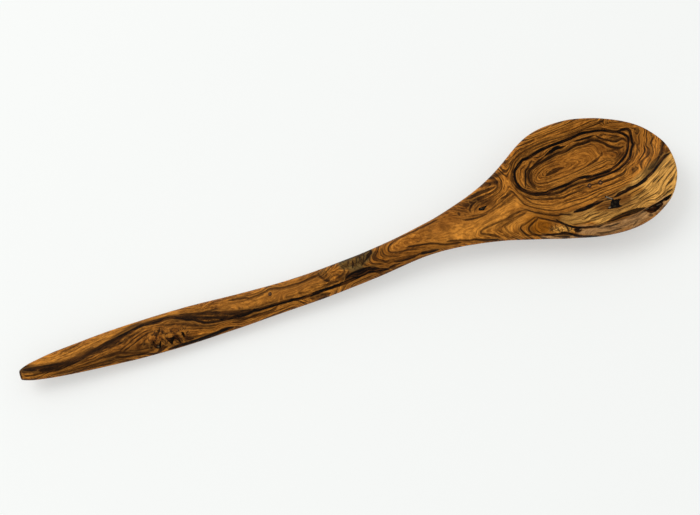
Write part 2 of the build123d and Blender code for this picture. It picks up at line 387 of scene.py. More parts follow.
bowlFrontLines = [
    (37, 1, 0.45, [(635, 129), (634.5, 131.5), (637, 134), (639.5, 131), (638, 128), (635.5, 127.5)]),
    (38, 1.2, 0.55, [(638.5, 134), (639, 143), (637, 146), (639.5, 153)]),
    (36, 1.2, 0.55, [(633, 139), (634.5, 142.5), (637, 145)]),
    (41, 1.2, 0.4, [(644, 141), (645, 144.5), (643, 154.5), (636, 163)]),
    (46, 1.2, 0.55, [(651, 135), (654, 136.5), (652, 139.5), (651, 142.5), (649, 144.5)]),
    (46, 1, 0.4, [(652, 143), (654.5, 146.5), (653, 149.5)]),
    (50, 1, 0.35, [(661, 142), (658, 152)]),
    (43, 1, 0.35, [(645, 146), (650, 150), (646, 158), (630, 168)]),
    (35, 1, 0.45, [(634, 152), (632.5, 158), (625, 167), (614.5, 174.5)]),
    (37, 1, 0.45, [(636, 162), (620, 174.5), (604, 181.5)]),
    (40, 1.2, 0.5, [(639, 167), (634, 172), (617.5, 181.5), (585, 194)]),
    (37, 1, 0.4, [(625, 174), (611, 180), (585, 186.5)]),
    (46, 1, 0.45, [(641, 175), (635, 179.5), (597.5, 194.5)]),
    (49, 1.2, 0.45, [(632.5, 183), (597.5, 198)]),
]
heartwoodEdge = [
    (40, 1.2, 0.5, [(514.5, 187), (518, 192), (522, 195), (525.5, 199), (535, 204), (547.5, 205), (560, 203),
        (589, 191)]),
    (37, 1, 0.45, [(519, 192.5), (524, 196), (535, 199.5), (562.5, 198), (567.5, 195.5), (587.5, 189)]),
    (46, 1.2, 0.55, [(519, 198), (526, 205), (545, 209.5), (556, 210.5), (569, 207.5), (594, 198),
        (600, 197)]),
    (43, 1, 0.35, [(562, 204), (588, 197)]),
    (53, 1.6, 0.7, [(521, 210.5), (527, 210), (537.5, 213), (556, 215.5), (561, 214.5), (567.5, 214.5),
        (572.5, 214)]),
    (53, 4, 0.9, [(573, 212.5), (587.5, 207.5), (600, 201.5)]),
    (53, 4.2, 0.9, [(590, 207), (594.5, 204), (604, 200.5)]),
    (53, 2.4, 0.6, [(604, 200.5), (613.5, 197.5)]),
    (53, 2.6, 0.9, [(613.5, 197.5), (639, 184.5), (649.5, 176)]),
    (53, 2.8, 0.95, [(615, 196.5), (620, 193), (625, 191), (629, 188), (638, 184.5), (652.5, 172), (663, 158),
        (670.5, 152.5)]),
    (None, 9, 0.42, [(659.5, 156), (652, 166), (647.5, 170)]),
    (None, 5, 0.5, [(666, 147), (667.5, 150), (665, 153)]),
    (None, 5, 0.35, [(645, 174.5), (641, 178)]),
]
sapwoodLines = [
    (60, 1.3, 0.6, [(652, 182.5), (654.5, 179.5), (657.5, 177.5), (659.5, 175)]),
    (60, 1.6, 0.5, [(662.5, 169.5), (666, 167), (672.5, 160)]),
    (60, 1.3, 0.5, [(632.5, 200.5), (648, 189)]),
    (57, 1.1, 0.5, [(627.5, 196), (645.5, 185)]),
    (64, 1, 0.45, [(615.5, 208), (640, 197)]),
    (66, 1.2, 0.55, [(590, 219.5), (609, 212.5)]),
    (62, 1, 0.35, [(590, 213), (605, 208)]),
    (68, 1, 0.4, [(592.5, 221.5), (634.5, 204)]),
    (70, 1, 0.45, [(634.5, 204.5), (659.5, 191)]),
    (74, 1.2, 0.55, [(655.5, 202), (667.5, 192)]),
    (76, 2, 0.7, [(663, 197), (668, 192), (673.5, 189)]),
    (73, 1.2, 0.5, [(669.5, 186), (674, 184.5)]),
    (None, 1.2, 0.6, [(654.5, 180.5), (657.5, 176)]),
    (None, 1.2, 0.8, [(652, 183), (659.5, 175.5)]),
    (None, 1, 0.8, [(655.5, 183.5), (665, 173.5)]),
    (None, 1, 0.8, [(664.5, 167.5), (671, 161)]),
    (None, 1, 0.7, [(667.5, 169), (673.5, 162.5)]),
    (None, 1, 0.8, [(632.5, 197.5), (638, 194.5), (647, 188)]),
    (None, 1, 0.7, [(638, 200), (649, 192.5)]),
    (None, 1, 0.7, [(655, 200), (667, 191)]),
    (None, 1, 0.7, [(663, 193), (673.5, 184.5)]),
    (70, 1.2, 0.5, [(662.5, 182.5), (671, 172), (675.5, 165)]),
    (74, 1.2, 0.4, [(666, 186.5), (675.5, 176.5)]),
    (60, 1, 0.45, [(567.5, 221), (584.5, 217.5), (600, 212.5)]),
    (64, 1, 0.45, [(572, 225), (600, 219)]),
]
nearWallLines = [
    (72, 1.6, 0.7, [(535.5, 217), (562.5, 223), (567.5, 225), (581, 228), (600, 225)]),
    (72, 2.6, 0.6, [(590, 227.5), (596, 226.5), (613.5, 220), (626.5, 214)]),
    (72, 3.6, 0.5, [(626.5, 214.5), (640, 209)]),
    (78, 3, 0.35, [(602, 224), (609, 222.5), (623, 218), (630, 217.5), (637, 215.5), (643, 212.5)]),
    (84, 1.8, 0.35, [(597, 228), (619, 227), (642, 218)]),
    (82, 2.6, 0.6, [(640, 213), (649, 209.5)]),
    (84, 2.4, 0.55, [(647.5, 215), (652.5, 215.5), (649, 212.5)]),
    (90, 1.6, 0.3, [(590, 236), (615, 233)]),
]
amberKnotLines = [
    (60, 1.2, 0.5, [(526, 213), (509, 224), (505, 227.5), (511, 234), (520.5, 238)]),
    (66, 1.4, 0.6, [(537.5, 216.5), (534, 218), (525.5, 224), (522, 226), (521, 229), (527, 234.5),
        (532.5, 235.5)]),
    (70, 1.8, 0.65, [(539, 217.5), (529, 227), (531, 233), (536, 235), (547.5, 235)]),
    (74, 2, 0.85, [(542.5, 235.5), (569, 233.5), (582.5, 236.5), (589, 236.5)]),
    (None, 3.2, 0.85, [(573, 229.5), (576, 231), (580, 231), (582, 229)]),
    (43, 1.5, 0.65, [(500, 199), (508, 194.5), (512.5, 192), (515.5, 195), (525, 204.5)]),
    (46, 1.1, 0.45, [(500, 204), (510, 198), (514.5, 195.5), (518, 199)]),
    (48, 1, 0.3, [(500, 208), (517, 199)]),
    (54, 2, 0.6, [(500, 221.5), (506, 219), (512.5, 215), (523, 210.5)]),
    (57, 1.8, 0.5, [(500, 225.5), (504, 224), (508, 220.5), (527, 212)]),
]
neckLines = [
    (30, 3.2, 0.75, [(465.5, 199.5), (495.5, 186.5)]),
    (None, 4.4, 0.7, [(469, 201), (471, 202.5), (473, 202)]),
    (34, 1.5, 0.6, [(476.5, 201.5), (473, 204), (469.5, 209.5), (472, 213.5)]),
    (None, 1.4, 0.45, [(479.5, 203.5), (475, 209.5), (474.5, 213)]),
    (43, 2, 0.7, [(462, 219.5), (465, 220), (474.5, 218.5), (488, 213.5)]),
    (43, 1.3, 0.5, [(468.5, 216.5), (487, 212), (512.5, 192.5)]),
    (44, 1.4, 0.5, [(488.5, 213.5), (515, 196.5)]),
    (45, 1, 0.35, [(497, 209), (515, 198)]),
    (None, 2.2, 0.6, [(458.5, 213.5), (459.5, 214.5)]),
    (45, 1, 0, [(398, 242), (455, 225)]),
    (46.5, 1, 0, [(405, 244), (472, 226)]),
    (None, 1.6, 0.5, [(452, 226), (454.5, 224.5)]),
    (None, 1.5, 0.45, [(464.5, 214.5), (465.5, 215)]),
    (54, 2, 0.62, [(514.5, 215.5), (488.5, 226.5), (482, 230.5), (481, 232.5), (483, 234), (493.5, 235),
        (501, 238)]),
    (57, 4.5, 0.32, [(514.5, 218.5), (504.5, 223), (497, 228.5), (503, 233)]),
    (60, 2, 0.5, [(514.5, 220), (505.5, 225.5), (507, 230.5), (514.5, 236)]),
    (50, 3, 0.28, [(481.5, 225.5), (484.5, 223), (500.5, 214)]),
    (None, 3.5, 0.35, [(500.5, 236.5), (505, 235), (509.5, 238), (513.5, 237)]),
    (42, 1.5, 0.6, [(405, 234.5), (412, 232), (438, 219.5)]),
    (38, 1, 0.35, [(406, 232), (445, 211)]),
    (48, 2, 0.72, [(407, 247), (431.5, 243.5), (445, 244.5), (462, 242.5)]),
    (50, 2, 0.65, [(445.5, 241.5), (458, 240.5), (469.5, 240.5), (475, 239.5), (487, 240.5), (500, 240)]),
    (28, 3, 0.85, [(416.5, 254.5), (439.5, 249.5)]),
    (34, 1.5, 0.4, [(405, 249.5), (426.5, 247)]),
    (None, 1.8, 0.5, [(415.5, 242), (422, 239.5)]),
    (None, 6, 0.2, [(425.5, 239.5), (433.5, 235)]),
]
midHandleLines = [
    (20, 3.2, 0.92, [(310, 294), (314.5, 293), (343, 283.5), (363, 274.5), (367, 272), (384.5, 269.5),
        (389.5, 269.5)]),
    (22, 6, 0.8, [(350, 276), (360, 274.5), (369.5, 269.5), (380, 268.5)]),
    (26, 2.6, 0.75, [(388.5, 268), (400.5, 263)]),
    (28, 2.8, 0.78, [(393, 262), (405, 259.5), (420, 254)]),
    (None, 2.6, 0.75, [(372.5, 250.5), (363.5, 262.5)]),
    (None, 1.4, 0.6, [(338, 263), (369.5, 250.5)]),
    (30, 1.5, 0.6, [(370.5, 253.5), (369.5, 258), (370, 261.5), (373, 263.5), (384.5, 264)]),
    (36, 1.5, 0.55, [(382.5, 247), (382, 250), (385.5, 255.5), (395.5, 256.5), (401.5, 255.5)]),
    (42, 1.6, 0.65, [(420, 228.5), (405.5, 235), (395.5, 240.5), (389, 246.5), (390, 252), (399.5, 252),
        (410, 249.5), (420, 249.5)]),
    (39, 1.1, 0.35, [(400, 236), (385, 246), (389, 254), (405, 253), (420, 252)]),
    (46, 2, 0.7, [(405.5, 248), (410, 246.5), (420, 245.5)]),
    (14, 2, 0.5, [(310, 278), (318, 276)]),
    (None, 2, 0.5, [(318.5, 272), (319, 275), (325, 280), (333.5, 281.5)]),
    (None, 1.6, 0.4, [(324, 270.5), (326.5, 272.5), (326, 276.5), (327, 280)]),
    (None, 6, 0.3, [(323, 279.5), (331.5, 274.5)]),
    (None, 1.4, 0.5, [(340, 264.5), (344.5, 270.5), (342, 274.5), (333.5, 280)]),
    (None, 1.2, 0.45, [(344.5, 272), (343, 275), (335, 279.5)]),
    (None, 2.4, 0.6, [(349, 270.5), (345.5, 278)]),
    (None, 1.4, 0.45, [(311.5, 275), (317, 271.5)]),
    (24, 1.2, 0.4, [(310, 286.5), (327, 284.5), (333.5, 282), (338.5, 281.5)]),
    (None, 2.2, 0.3, [(374, 272), (380, 272), (384, 271)]),
    (34, 1.2, 0.3, [(353, 284), (373, 275)]),
    (31, 1, 0.4, [(385.5, 265), (400, 258.5), (420, 253.5)]),
    (33, 1, 0.35, [(391, 260), (410, 255)]),
]
handleLines = [
    (20, 3, 0.9, [(215, 321.5), (243.5, 315), (253.5, 310.5), (259.5, 309.5), (289.5, 300.5), (300, 298.5),
        (325, 290)]),
    (17, 4, 0.55, [(215, 313.5), (243.5, 312), (255.5, 309.5)]),
    (18, 1.6, 0.6, [(215, 316.5), (228.5, 316.5)]),
    (22, 1.8, 0.6, [(230.5, 318), (236.5, 318.5), (249.5, 317.5), (255, 315), (266.5, 312.5), (278, 306.5)]),
    (24, 2.4, 0.5, [(249.5, 318), (266.5, 313.5), (277, 308.5)]),
    (24, 1.8, 0.5, [(231.5, 322.5), (238.5, 322), (253.5, 316.5)]),
    (29, 1.2, 0.4, [(260.5, 315), (278, 310.5), (295, 303.5)]),
    (35, 3.6, 0.9, [(215, 334.5), (223.5, 330), (234, 327)]),
    (12, 2, 0.62, [(228, 300.5), (245.5, 298), (250.5, 298.5), (265, 292), (270.5, 289), (282, 288),
        (295.5, 284), (300, 283), (315, 276.5), (319, 275.5)]),
    (14, 1.4, 0.35, [(228, 303), (244, 301), (265, 294)]),
    (14, 1.2, 0.35, [(269, 289), (276, 290), (299, 285)]),
    (15, 2.4, 0.25, [(215, 307), (229, 306)]),
    (None, 1.4, 0.4, [(215, 308.5), (216.5, 308.5)]),
    (None, 1.6, 0.3, [(239, 308), (240, 308)]),
    (5, 1.6, 0.3, [(284, 284), (287, 283)]),
    (24, 1, 0.35, [(286, 297), (325, 286)]),
    (27, 1.4, 0.3, [(304, 290), (318, 286)]),
    (20, 2.6, 0.8, [(115, 338.5), (124.5, 334.5), (141.5, 325.5), (146.5, 324.5), (159.5, 321.5),
        (165, 318.5), (175.5, 317.5), (186.5, 319.5), (193.5, 319.5), (200, 321.5), (207, 322.5),
        (225, 320)]),
    (18, 2, 0.55, [(136.5, 326.5), (158, 320), (170.5, 316), (186.5, 317.5), (225, 317.5)]),
    (16, 3.4, 0.5, [(179.5, 314.5), (193.5, 314.5), (200, 313.5), (225, 313)]),
    (19, 1.4, 0.6, [(190.5, 318.5), (208, 319.5), (213.5, 321)]),
    (21, 1.4, 0.5, [(115, 343), (125, 336.5), (135.5, 331.5)]),
    (22, 1.8, 0.55, [(115, 346), (123.5, 341.5)]),
    (24, 4, 0.3, [(128, 338.5), (135, 334.5)]),
    (25, 1.2, 0.4, [(119.5, 351.5), (130.5, 341.5), (142, 333), (148, 330.5)]),
    (28, 1.2, 0.4, [(122, 353), (143.5, 335.5), (156.5, 330)]),
    (30, 2, 0.45, [(115, 353), (138.5, 353), (154.5, 350)]),
    (33, 1.2, 0.35, [(115, 357), (126, 357), (147, 353)]),
    (36, 3, 0.4, [(115, 362), (132, 359.5)]),
    (35, 3, 0.88, [(168, 349.5), (208, 336.5), (225, 329.5)]),
    (23, 1.2, 0.3, [(165, 325), (182, 324), (199, 326)]),
    (26, 1.2, 0.3, [(176, 329), (215, 328)]),
    (9, 1, 0.35, [(115, 329), (136, 321), (169, 313)]),
    (12, 1, 0.3, [(115, 332), (139, 323)]),
    (8, 1, 0.3, [(172, 311), (183, 309), (201, 309)]),
    (14, 2.4, 0.25, [(205, 309), (225, 306)]),
    (None, 2, 0.55, [(159.5, 327.5), (157, 334.5), (155, 335.5)]),
    (None, 1.6, 0.5, [(160.5, 337), (162, 340), (160.5, 343)]),
    (None, 2.4, 0.5, [(150, 345.5), (152, 344.5), (155, 345.5)]),
    (None, 1.4, 0.45, [(143.5, 346.5), (145, 343.5), (148.5, 343)]),
]
handleEndLines = [
    (17, 2, 0.5, [(23, 370), (49.5, 365.5), (69.5, 359.5), (90.5, 348.5), (97, 348), (120, 336.5)]),
    (20, 5.6, 0.5, [(38.5, 370.5), (47, 370), (63.5, 365.5), (78, 358.5), (90.5, 352), (98, 350),
        (104.5, 346), (118, 339.5), (124.5, 335)]),
    (20, 1.6, 0.6, [(23.5, 375.5), (30.5, 375.5), (58, 370), (64.5, 367)]),
    (19, 1.4, 0.5, [(23, 370), (36.5, 370.5)]),
    (None, 1.6, 0.5, [(40, 372), (47, 366.5)]),
    (22, 2, 0.6, [(55, 367), (70.5, 363), (76.5, 360), (83.5, 358), (86.5, 355.5)]),
    (24, 1.4, 0.45, [(96.5, 354), (108, 349.5), (120.5, 342)]),
    (22, 1.4, 0.55, [(100.5, 346.5), (115, 340), (122, 335.5)]),
    (28, 1.2, 0.45, [(65, 372), (122, 350.5)]),
    (30, 2, 0.4, [(99.5, 358.5), (124.5, 352)]),
    (33, 1.6, 0.4, [(50.5, 375), (115, 360)]),
    (36, 2.4, 0.4, [(69.5, 373.5), (100.5, 365), (124.5, 360)]),
    (11, 1.6, 0.4, [(60.5, 351.5), (68, 349.5), (82, 341.5)]),
    (12, 1.2, 0.4, [(60.5, 356.5), (83.5, 345.5)]),
    (14, 1.2, 0.4, [(55, 360.5), (75, 353), (108, 336.5)]),
    (8, 1, 0.3, [(49, 354), (84, 339)]),
    (None, 1.4, 0.85, [(19, 370), (22.5, 380)]),
]
# painted shade: the first two lines are the dark shadow along the hollow's near edge; the rest are dark marks
# on the near wall below it
rimShadeAndMarks = [
    (None, 2.4, 0.9, [(556, 219.5), (562, 223), (576, 227.5), (596, 226.5), (604, 224.5)]),
    (None, 5, 0.85, [(604, 224), (628, 213.5), (646, 207.5)]),
    (None, 2.4, 0.95, [(560, 232), (570, 233.5), (578, 236), (590, 236.5), (600, 235.5)]),
    (None, 5, 0.9, [(573.5, 230), (581, 228.5)]),
    (None, 2, 0.8, [(565, 226), (568, 228.5), (569, 231)]),
    (None, 1.6, 0.75, [(604, 227), (612, 225.5), (621, 222.5)]),
    (None, 1.4, 0.6, [(596, 233), (606, 232.5), (622, 228)]),
    (None, 1.4, 0.6, [(633, 226), (639, 219)]),
]
greyPatchLines = [
    (None, 3.4, 0.95, [(369.5, 249.5), (371, 252.5), (367.5, 256), (366.5, 260)]),
    (None, 1.4, 0.6, [(364.5, 252), (363, 262), (361.5, 266)]),
    (None, 1.3, 0.5, [(360.5, 255), (358.5, 265)]),
    (None, 2.2, 0.8, [(352, 259.5), (353, 264), (352.5, 269)]),
    (None, 1.3, 0.5, [(357, 256), (355.5, 266)]),
    (None, 1.3, 0.6, [(348, 258), (348.5, 262), (347, 266)]),
    (None, 4, 0.95, [(345, 280), (350, 275.5), (365, 269.5), (374, 268)]),
]
burrMarks = [
    (None, 2.4, 0.8, [(159, 327.5), (159.5, 330), (156, 336.5)]),
    (None, 1.8, 0.7, [(161.5, 331), (163.5, 333.5), (166.5, 334.5)]),
    (None, 3, 0.55, [(171.5, 331.5), (174.5, 331.5)]),
    (None, 2.2, 0.7, [(186, 337.5), (190, 339), (194, 338)]),
    (None, 2, 0.6, [(150, 346.5), (153, 349)]),
    (None, 1.8, 0.6, [(163, 338), (165, 341), (166, 345)]),
    (None, 1.5, 0.6, [(172, 343.5), (174, 346)]),
]
tracedLines = (bowlRings + farRimLines + bowlBackLines + bowlFrontLines + heartwoodEdge + sapwoodLines +
               nearWallLines + amberKnotLines + neckLines + midHandleLines + handleLines + handleEndLines +
               rimShadeAndMarks + greyPatchLines + burrMarks)

# Colour zones of the wood, as broad soft strokes in the photograph
# Each stroke: its width in pixels, softness, strength and pixels.
colourZones = {
    "golden": [
        (24, 12, 0.9, [(438, 234), (455, 230), (470, 227), (492, 216)]),
        (9, 4, 0.9, [(492, 217), (505, 209), (519, 201)]), (9, 4, 0.9, [(508, 229), (516, 223), (530, 216)]),
        (11, 5, 0.8, [(222, 306), (245, 304), (262, 299), (290, 290), (318, 283)]),
        (8, 4, 0.9, [(34, 363), (60, 357), (88, 347), (112, 334), (150, 320), (175, 312)]),
        (9, 5, 0.5, [(235, 294), (270, 284), (305, 274)]), (12, 7, 0.3, [(572, 157), (596, 151)]),
        (7, 3, 0.8, [(532, 203), (556, 207), (580, 202), (602, 194), (628, 180), (648, 163)]),
        (6, 3, 0.7, [(552, 184), (578, 173), (600, 164)]), (6, 3, 0.7, [(527, 139), (545, 131), (565, 124)]),
        (6, 4, 0.6, [(530, 149), (546, 141.5), (565, 135)]),
        (6, 4, 0.7, [(604, 178), (618, 175), (628, 168)]), (9, 5, 0.6, [(640, 133), (650, 141), (656, 150)]),
        (5, 3, 0.7, [(325, 291), (350, 284), (375, 275)]), (3.2, 2, 0.5, [(157.3, 337), (158, 339.6)]),
        (2.6, 2, 0.5, [(165.5, 331.8), (167, 332.4)]), (3.4, 2, 0.6, [(164.6, 343), (168, 345.4)]),
        (1.4, 1, 0.8, [(560, 228.5), (562.5, 227)]), (1.4, 1, 0.8, [(564.5, 230.2), (567, 228.4)]),
        (1.2, 1, 0.8, [(557, 231), (559, 229.6)]), (1.2, 1, 0.8, [(569.5, 229.6), (571, 227.8)]),
        (1.2, 1, 0.7, [(553.5, 229.4), (555.5, 228)]), (1.4, 1, 0.9, [(561, 231.8), (563.5, 230.6)]),
        (1.3, 1, 0.9, [(565.5, 226.6), (567.5, 226)]), (1.3, 1, 0.8, [(557.5, 226.4), (559, 225.6)]),
    ],
    "calm": [
        (12, 6, 0.7, [(585, 231), (605, 231), (625, 225), (645, 216), (655, 210)]),
        (16, 8, 0.5, [(532, 224), (545, 224)]), (10, 6, 0.5, [(535, 203), (560, 208), (590, 203)]),
        (30, 12, 1.0, [(400, 248), (425, 238), (450, 231), (470, 227), (492, 216)]),
        (16, 8, 0.8, [(492, 217), (505, 209), (519, 201)]),
        (14, 8, 0.8, [(508, 229), (516, 223), (530, 216)]),
        (12, 6, 0.7, [(222, 306), (245, 304), (262, 299), (290, 290), (318, 283)]),
        (14, 8, 0.6, [(34, 363), (60, 357), (88, 347), (112, 334), (150, 320), (175, 312)]),
        (18, 8, 0.9, [(560, 170), (580, 160), (605, 148)]),
        (12, 6, 0.6, [(425, 222), (450, 208), (470, 196)]),
    ],
    "sapwood": [
        (13, 5, 1.0, [(567, 219.5), (582, 216), (600, 213)]),
        (6, 3, 0.55, [(555, 229), (563, 229.2), (571, 229)]), (1.8, 1, 1.0, [(555.5, 230.4), (557, 229)]),
        (1.8, 1, 1.0, [(563.8, 228.4), (565, 227.6)]), (1.8, 1, 1.0, [(568.8, 231.2), (570, 230.4)]),
        (1.8, 1, 1.0, [(574, 231), (575.4, 229.8)]), (1.8, 1, 1.0, [(549.6, 230), (551, 229.2)]),
        (1.6, 1, 1.0, [(559.6, 228.6), (561.4, 227)]), (1.6, 1, 1.0, [(562.4, 231), (564.4, 229.2)]),
        (1.6, 1, 1.0, [(566.4, 229.8), (568.4, 227.6)]), (1.6, 1, 1.0, [(564.2, 226.2), (566, 225.6)]),
        (1.6, 1, 0.9, [(570.6, 230.6), (572.4, 228.6)]), (1.4, 1, 0.9, [(552.4, 228.6), (553.6, 227.4)]),
        (1.4, 1, 0.9, [(558.6, 232.2), (560.2, 231.4)]), (22, 5, 1.0, [(600, 213), (616, 206), (630, 200)]),
        (27, 5, 1.0, [(630, 200), (645, 191)]), (32, 5, 1.0, [(645, 190), (656, 181), (664, 174)]),
        (20, 4, 1.0, [(669, 163), (671, 184), (662, 195)]),
    ],
    # the outer wall's pale tan wood; the thin stroke at its right end and the one along its bottom edge are
    # painted highlights
    "paleWallAndHighlights": [
        (3, 2, 0.9, [(632, 228), (637, 224), (642, 218.5)]),
        (10, 5, 1.0, [(582, 230), (600, 230), (618, 226), (634, 220), (648, 213)]),
        (9, 4, 0.9, [(646, 214), (656, 208), (666, 200)]),
        (4, 2, 0.9, [(543, 236.5), (560, 237), (577, 236)]),
    ],
    "amber": [
        (21, 7, 1.0, [(535, 225), (542, 225)]), (14, 6, 0.5, [(378, 257), (384, 251)]),
        (9, 6, 0.8, [(607, 206), (598, 207)]), (7, 5, 0.8, [(622, 199), (631, 194), (640, 190)]),
        (5, 4, 0.7, [(618, 196.5), (612, 198)]),
    ],
    "greyed": [
        (13, 6, 1.0, [(345, 263), (355, 262), (363, 257), (367, 252)]),
        (7, 4, 0.9, [(352, 268), (360, 266)]), (7, 4, 0.25, [(320, 274), (326, 269)]),
        (8, 4, 0.25, [(640, 178), (652, 168)]),
    ],
    # painted shade on the lower sides of the neck and handle, and browner wood elsewhere, multiplied over the
    # colour
    "brownAndShade": [
        (14, 7, 0.95, [(604, 203), (614, 201), (626, 199)]),
        (8, 5, 0.75, [(619, 207), (622, 202), (626, 197)]),
        (9, 5, 0.6, [(580, 213), (590, 208), (600, 205)]), (7, 4, 0.5, [(606, 203), (604, 207)]),
        (6, 4, 0.5, [(345, 286), (360, 281), (375, 277), (388, 272)]),
        (5, 4, 0.5, [(455, 243), (470, 242), (485, 241)]), (12, 7, 0.35, [(305, 282), (322, 277)]),
        (16, 9, 0.22, [(562, 170), (580, 161), (600, 151)]),
        (10, 7, 0.5, [(600, 213), (614, 210), (628, 207), (645, 199)]),
        (12, 7, 0.7, [(604, 150), (618, 152), (626, 150), (629, 143)]),
        (12, 8, 0.35, [(590, 142), (606, 136), (640, 136), (650, 143)]),
        (14, 8, 0.6, [(554, 219), (566, 216), (576, 213)]),
        (9, 6, 0.5, [(556, 171), (545, 156), (535, 162)]),
        (20, 12, 0.6, [(428, 224), (452, 215), (466, 213), (488, 207)]),
        (9, 6, 0.5, [(482, 187), (492, 181)]),
        (22, 12, 0.45, [(380, 262), (400, 258), (420, 247), (442, 236)]),
        (12, 8, 0.45, [(280, 291), (300, 285), (318, 276)]),
        (12, 7, 0.35, [(268, 300), (285, 297), (300, 292)]),
        (10, 7, 0.5, [(438, 228), (455, 220), (470, 219)]),
        (14, 8, 0.45, [(220, 304), (238, 300), (250, 297)]), (12, 8, 0.5, [(220, 327), (240, 321)]),
        (18, 10, 0.6, [(122, 344), (145, 340), (165, 333), (188, 330)]),
        (13, 7, 0.8, [(152, 336), (165, 334), (177, 333)]),
        (9, 6, 0.5, [(368, 274), (378, 270), (388, 266)]), (12, 8, 0.4, [(88, 362), (105, 356), (122, 349)]),
    ],
    "umber": [
        (4, 2.5, 0.85, [(482, 185.5), (489, 184), (497, 182)]),
        (3.5, 2, 0.8, [(489, 178), (495, 176), (503, 172)]), (8, 3, 0.97, [(20, 370), (40, 369), (58, 366)]),
        (5, 3, 0.95, [(58, 366), (75, 361), (90, 353), (102, 347)]),
        (6, 3, 0.95, [(102, 347), (115, 339), (128, 330), (140, 325)]),
        (4.5, 2.5, 0.9, [(140, 325), (155, 321), (175, 318), (195, 318)]),
        (9, 5, 0.45, [(60, 371), (98, 360), (125, 352), (150, 345)]),
        (9, 5, 0.55, [(110, 358), (150, 349), (190, 338)]),
        (10, 6, 0.8, [(663, 156), (656, 165), (648, 172)]),
        (9, 5, 0.75, [(178, 318), (205, 315.5), (235, 314.5), (258, 309)]),
        (8, 4, 0.95, [(345, 278), (353, 273.5), (362, 271), (373, 268.5)]),
        (8, 4, 0.5, [(185, 325), (210, 326)]), (8, 4, 0.6, [(492, 203), (478, 200), (466, 203)]),
        (9, 5, 0.5, [(152, 345), (163, 342), (176, 340), (186, 334)]),
        (7, 4, 0.4, [(525, 190), (545, 194), (575, 184)]),
    ],
    "burr": [
        (19, 7, 1.0, [(156, 338), (168, 337), (183, 335)]),
        (8, 4, 1.0, [(553, 228), (562, 228.4), (573, 228.4)]),
    ],
}


def smoothCurve(points, spacing, least):
    # points close together along a smooth line through all the given ones but the first and last
    curve = []
    for a, b, c, d in zip(points, points[1:], points[2:], points[3:]):
        count = max(least, math.ceil(np.hypot(*(c - b)) / spacing))
        for share in np.linspace(0, 1, count, endpoint=False):
            curve.append(0.5 * (2 * b + (c - a) * share + (2 * a - 5 * b + 4 * c - d) * share ** 2
                                + (3 * b - a - 3 * c + d) * share ** 3))
    return curve


def rounded(line):
    # a smooth curve through the points of a line, in pixels
    line = np.array(line, float)
    if len(line) < 3:
        return line
    ends = np.vstack([2 * line[0] - line[1], line, 2 * line[-1] - line[-2]])
    return np.array(smoothCurve(ends, spacing=3, least=4) + [line[-1]])


def alongCurve(curve):
    return np.concatenate([[0], np.cumsum(np.hypot(*(curve[1:] - curve[:-1]).T))])


def strokeDistance(pixels, line):
    # how far pixels lie to one side of a line, how far along it, and its length, all in pixels
    starts = alongCurve(line)
    nearest, along, side = np.full(len(pixels), 1e9), np.zeros(len(pixels)), np.ones(len(pixels))
    for start, end, a, b in zip(starts, starts[1:], line, line[1:]):
        step = b - a
        share = np.clip(((pixels - a) @ step) / max(step @ step, 1e-9), 0, 1)
        away = np.hypot(*(pixels - a - share[:, None] * step).T)
        closer = away < nearest
        turn = step[0] * (pixels[:, 1] - a[1]) - step[1] * (pixels[:, 0] - a[0])
        nearest[closer] = away[closer]
        side[closer] = np.where(turn[closer] < 0, -1, 1)
        along[closer] = start + share[closer] * (end - start)
    return nearest * side, along, starts[-1]


def nearLine(pixels, line, margin):
    low, high = line.min(0) - margin, line.max(0) + margin
    return np.nonzero(((pixels > low) & (pixels < high)).all(1))[0]


veinDrawing = {
    "slope": 2.4,            # pixels from a line's edge to where its field runs out
    "taper": 2.0,            # its ends narrow over this many widths
    "tip": 0.6,              # how round its ends are
    "breadth": 0.50,         # half of a line's share of its traced width
    "least": 0.50,           # pixels, half the width of the thinnest line
    "darkness": 1.12,        # how much darker all lines are than traced
    "closed": 2,             # pixels, where a line's two ends are one place
    "apart": 90,             # pixels between the runs of two lines, so that their strands differ
}


def drawVeins(pixels):
    # how near the edge of a traced line is (0.5 on the edge), how dark that line is,
    # and how far across and along it each point lies
    shape, tone, across, run = np.zeros((4, len(pixels)))
    look = veinDrawing
    count = 0
    for ring, width, dark, line in tracedLines:
        line = rounded(line)
        near = nearLine(pixels, line, 0.5 * width + look["slope"] + 1)
        if len(near) == 0:
            continue
        offset, along, length = strokeDistance(pixels[near], line)
        ends = np.minimum(along, length - along) / (look["taper"] * width + 1)
        ends = np.clip(ends, 0, 1) ** look["tip"]
        if np.hypot(*(line[0] - line[-1])) < look["closed"]:
            ends = np.ones(len(near))
        half = ends * max(look["breadth"] * width, look["least"])
        field = np.clip(0.5 + (half - np.abs(offset)) / (2 * look["slope"]), 0, 1)
        better = field > shape[near]
        spots = near[better]
        shape[spots] = field[better]
        tone[spots] = min(1, dark * look["darkness"])
        across[spots] = offset[better]
        run[spots] = along[better] + look["apart"] * count
        count += 1
    return shape, tone, across, run


def drawZone(pixels, strokes):
    clear = np.ones(len(pixels))
    for width, softness, strength, line in strokes:
        line = rounded(line)
        near = nearLine(pixels, line, width / 2 + softness + 1)
        if len(near):
            away = np.abs(strokeDistance(pixels[near], line)[0])
            edge = np.clip((away - width / 2 + softness / 2) / softness, 0, 1)
            clear[near] *= 1 - strength * (1 - edge * edge * (3 - 2 * edge))
    return 1 - clear


ringField = {
    "spacing": 5.0,          # pixels between the places where a traced line holds the rings
    "reach": 6.0,            # pixels over which the rings turn a corner
    "ease": 0.6,
    "unit": 100,             # pixels, for the even part of the field
    "perMillimetre": 1.9,    # rings passed for each millimetre into the wood
    "portion": 8000,         # how many pixels are worked out at a time
}


